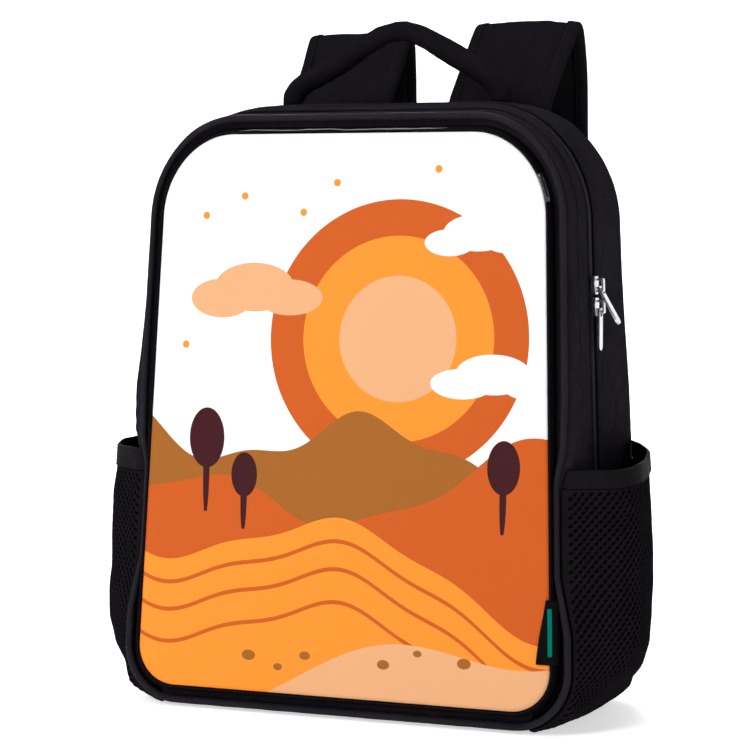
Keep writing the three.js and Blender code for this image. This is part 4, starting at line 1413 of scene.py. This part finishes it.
# Lower ends of the straps
def lower_line(side):
    """A strap's lower end and the way it points."""
    rows = []
    for height, reach, spread, _ in STRAP_ROWS[-2:]:
        z = height * BODY_HEIGHT
        y = rear_plane(z) + SEAM_GAP + STRAP_THICKNESS / 2 + reach * STRAP_REACH
        rows.append(np.array([side * spread * STRAP_SPREAD, y, z]))
    run = rows[1] - rows[0]
    run[0] = 0.0
    return rows[1], unit(run)


WEB_WIDTH = 25.0
WEB_THICKNESS = 1.8
BUCKLE_LENGTH = 22.0
TAB_CENTRE = 0.8175 * PANEL_HALF
TAB_FOOT = 20.0
TAB_HEIGHT = 38.0
TAB_THICKNESS = 3.0
WEB_SEWN = 11.4
WEB_BOW = 7.0
WEB_RIB = 0.12


def make_webbing(name, side, node):
    start, run = lower_line(side)
    start = start + run * (BUCKLE_LENGTH + 2 * SEAM_GAP)
    z = TAB_FOOT + TAB_HEIGHT * 0.35
    y = rear_plane(z) + 2 * SEAM_GAP + TAB_THICKNESS + WEB_THICKNESS / 2
    foot = np.array([side * TAB_CENTRE, y, z])
    rows = []
    for t in np.linspace(0, 1, 9):
        rows.append(start * (1 - t) + foot * t + run * WEB_BOW * math.sin(math.pi * t) * (1 - t))
    rows.append(foot + np.array([0, REAR_LEAN * WEB_SEWN, -WEB_SEWN]))
    places = curve_through(rows, 120)
    across = np.linspace(-0.5, 0.5, 41)
    ribs = WEB_RIB * np.abs(np.sin(across * math.pi * 10))
    profile = flat_profile(across, WEB_THICKNESS / 2 - 0.15 + ribs)
    rings = [strap_ring(place, WEB_WIDTH, way, profile) for place, way in zip(places, band_out(places))]
    return make_piece(name, *loft(np.array(rings)), webbing_cloth, "webbing", replaces=[node])


def rounded_slab(name, node, material, width):
    """A plate of the part taken over with welded, rounded edges."""
    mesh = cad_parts[node].data.copy()
    mesh.name = name
    mesh.materials.clear()
    mesh.materials.append(material)
    made = bmesh.new()
    made.from_mesh(mesh)
    bmesh.ops.remove_doubles(made, verts=made.verts, dist=1e-5)
    bmesh.ops.dissolve_limit(made, angle_limit=0.02, verts=made.verts, edges=made.edges)
    bmesh.ops.bevel(made, geom=made.edges[:], offset=width * MM, segments=3, profile=0.6, affect="EDGES")
    made.to_mesh(mesh)
    made.free()
    return dress(add_object(name, mesh), [node])


# Side label: a folded satin tag with one plain stripe
LABEL_FOOT = 43.0
LABEL_HEIGHT = 38.0
LABEL_REACH = (8.0, 1.5)
LABEL_CLOTH = 0.55
LABEL_TONE = (0.0035, 0.0032, 0.0038, 1.0)
STRIPE_TONE = (0.0, 0.15, 0.115, 1.0)
STRIPE_MIDDLE = 62.0
STRIPE_HALF = (1.3, 14.0)


def label_material():
    s = Shade("label satin", Roughness=0.5, Specular_IOR_Level=0.02)
    x, z = in_millimetres(s)
    edge = s.maths("SUBTRACT", 135.9, s.maths("MULTIPLY", z, 0.036))
    away = s.maths("ABSOLUTE", s.maths("SUBTRACT", s.maths("SUBTRACT", x, edge), 2.0))
    along = s.maths("ABSOLUTE", s.maths("SUBTRACT", z, STRIPE_MIDDLE))
    inside = [s.maths("LESS_THAN", far, half) for far, half in zip((away, along), STRIPE_HALF)]
    s.link(s.mix(s.maths("MULTIPLY", *inside), LABEL_TONE, STRIPE_TONE), "Base Color")
    thread = s.node("ShaderNodeTexWave", {"bands_direction": "Z"}, Vector=s.scaled(0.5), Scale=1.0)
    s.link(s.bump(thread.outputs[1], 0.3, 0.1), "Normal")
    return s.material


def make_label():
    rings = []
    for t in np.linspace(0, 1, 40):
        z = LABEL_FOOT + LABEL_HEIGHT * t
        reach = LABEL_REACH[0] + (LABEL_REACH[1] - LABEL_REACH[0]) * t + 0.5 * math.sin(math.pi * t)
        rows = curve_through([
            (4.65, 4.9), (4.6, 2.1), (3.6, 0.0), (1.3, -0.7), (0.0, -0.9), (-reach * 0.5, -1.0),
            (-reach, -1.05 - 0.5 * math.sin(t * 5.0 + 1.0)),
        ], 24)
        width = 1.0 - SIDE_TAPER * z / BODY_HEIGHT
        inner, outer = [], []
        normal = unit(np.gradient(rows, axis=0))
        for (out, deep), (a, b) in zip(rows, normal):
            for target, lift in ((inner, 0.0), (outer, LABEL_CLOTH)):
                o, d = out + abs(b) * lift, deep + a * lift * (1 if a < 0 else -1)
                target.append(((PANEL_HALF + o) * width, front_plane(z) + d, z))
        rings.append(inner + outer[::-1])
    points, faces = loft(np.array(rings))
    return make_piece("plain_label", points, faces, label_material(), "label", replaces=["side_label"])


# Floor, backdrop and light
FLOOR_GLOW = 0.6
FLOOR_TONES = [(0.8, 0.8, 0.8, 1.0), (0.82, 0.82, 0.82, 1.0)]
FLOOR_FRONT = -4000.0
FLOOR_REAR = 1500.0
FLOOR_BEND = 1500.0
WALL_TOP = 5000.0
FLOOR_HALF = 6000.0
# Each lamp: (name, azimuth, height, distance, size, power, aim), in degrees, metres and watts
LAMPS = [
    ("key", -24.0, 1.7, 2.3, (0.9, 0.9), 36.5, (0.0, 0.0, 0.2)),
    ("side", 78.0, 1.1, 2.2, (0.6, 1.4), 1.8, (0.0, 0.0, 0.2)),
    ("rear", 205.0, 1.5, 2.0, (0.9, 0.9), 26.0, (0.0, 0.0, 0.2)),
    ("over", 0.0, 2.6, 0.3, (1.8, 1.4), 34.0, (0.0, 0.0, 0.2)),
    ("behind", 180.0, 2.0, 1.6, (2.4, 1.0), 14.0, (0.0, 3.0, 0.4)),
]


def make_stage():
    """A floor that bends up into the backdrop."""
    s = Shade("pale floor", Roughness=0.8, Emission_Strength=FLOOR_GLOW)
    s.shader.inputs["Emission Color"].default_value = (1.0, 1.0, 1.0, 1.0)
    s.link(s.mix(s.noise(400.0, 2.0), *FLOOR_TONES), "Base Color")
    profile = [(y, 0.0) for y in np.linspace(FLOOR_FRONT, FLOOR_REAR, 12)]
    for a in np.radians(np.linspace(-90, 0, 24)[1:]):
        profile.append((FLOOR_REAR + FLOOR_BEND * math.cos(a), FLOOR_BEND + FLOOR_BEND * math.sin(a)))
    profile.append((FLOOR_REAR + FLOOR_BEND, WALL_TOP))
    turn = Matrix.Rotation(CAMERA_AZIMUTH, 3, "Z")
    across = np.linspace(-FLOOR_HALF, FLOOR_HALF, 9)
    points = [tuple(turn @ Vector((x, y, z)) * MM) for x in across for y, z in profile]
    mesh = bpy.data.meshes.new("floor")
    mesh.from_pydata(points, [], grid_faces(len(across), len(profile)))
    mesh.flip_normals()
    mesh.materials.append(s.material)
    add_object("floor", mesh)


def make_lamp(name, azimuth, height, distance, size, power, aim):
    data = bpy.data.lights.new(name, "AREA")
    data.shape = "RECTANGLE"
    data.size, data.size_y = size
    data.energy = power
    lamp = add_object(name, data)
    a = math.radians(azimuth)
    lamp.location = (distance * math.sin(a), -distance * math.cos(a), height)
    way = Vector(aim) - lamp.location
    lamp.rotation_mode = "QUATERNION"
    lamp.rotation_quaternion = way.to_track_quat("-Z", "Y")


SKY_GLOW = 0.1


def make_light():
    """A pale horizon under a dim sky, with soft lamps in front, above and behind."""
    world = bpy.data.worlds.new("studio")
    world.use_nodes = True
    tree = world.node_tree
    sky = tree.nodes["Background"]
    sky.inputs["Color"].default_value = (1.0, 1.0, 1.0, 1.0)
    place = tree.nodes.new("ShaderNodeTexCoord")
    split = tree.nodes.new("ShaderNodeSeparateXYZ")
    band = tree.nodes.new("ShaderNodeMapRange")
    band.interpolation_type = "SMOOTHSTEP"
    for key, number in (("From Min", 0.12), ("From Max", 0.3), ("To Min", 1.0), ("To Max", SKY_GLOW)):
        band.inputs[key].default_value = number
    tree.links.new(place.outputs["Generated"], split.inputs[0])
    tree.links.new(split.outputs[2], band.inputs["Value"])
    tree.links.new(band.outputs[0], sky.inputs["Strength"])
    bpy.context.scene.world = world
    bpy.context.scene.view_settings.view_transform = "Standard"
    for lamp in LAMPS:
        make_lamp(*lamp)


make_panel()
make_border()
make_highlight_bead()
make_piping()
make_gusset("front_wall", "arch", FRONT_OUTER, "gusset_front", 46)
make_gusset("rear_wall", "arch", REAR_OUTER, "gusset_rear", 46)
make_gusset("base_wall", "base", BASE_OUTER, "gusset_base", 66)
make_tape("tape_front", -1, "zipper_tape_front")
make_tape("tape_rear", 1, "zipper_tape_rear")
make_coil()
finish_metal()
for word, side in (("right", 1), ("left", -1)):
    pocket_wall = Wall(0.0, side)
    make_net(f"net_{word}", side, f"pocket_mesh_{word}", pocket_wall)
    make_shade_sheet(f"net_backing_{word}", side, f"pocket_mesh_{word}", pocket_wall)
    make_hem(f"hem_{word}", side, f"pocket_hem_{word}")
    make_strap(f"strap_pad_{word}", side, f"strap_{word}")
    make_strap_binding(f"strap_binding_{word}", side)
    make_stitches(f"strap_stitches_{word}", strap_seams(side), "padding", pitch=3.4)
    make_webbing(f"webbing_{word}", side, f"strap_webbing_{word}")
    rounded_slab(f"buckle_{word}", f"strap_buckle_{word}", plastic, 0.8)
    rounded_slab(f"tab_{word}", f"corner_tab_{word}", black_cloth, 0.7)
make_handle()
make_stitches("handle_stitches", handle_seam(), "padding", pitch=3.2)
make_back()
make_label()

arch = make_path("arch", 2.0)
loop = make_path("loop", 2.0)
make_stitches("edge_stitches", [seam_line(loop + loop[:1], 0.0, -0.3, 1.35, (0.0, -5.0, 1.35))], "trim",
              pitch=2.8, length=2.0, width=0.42)
make_stitches("zipper_stitches", [
    seam_line(arch, ZIPPER_SHARE, -9.0, 12.9, (ZIPPER_SHARE, -9.0, 20.0)),
    seam_line(arch, ZIPPER_SHARE, 9.0, 12.9, (ZIPPER_SHARE, 9.0, 20.0)),
], "trim", pitch=1.9, length=1.2, width=0.55)

make_stage()
make_light()
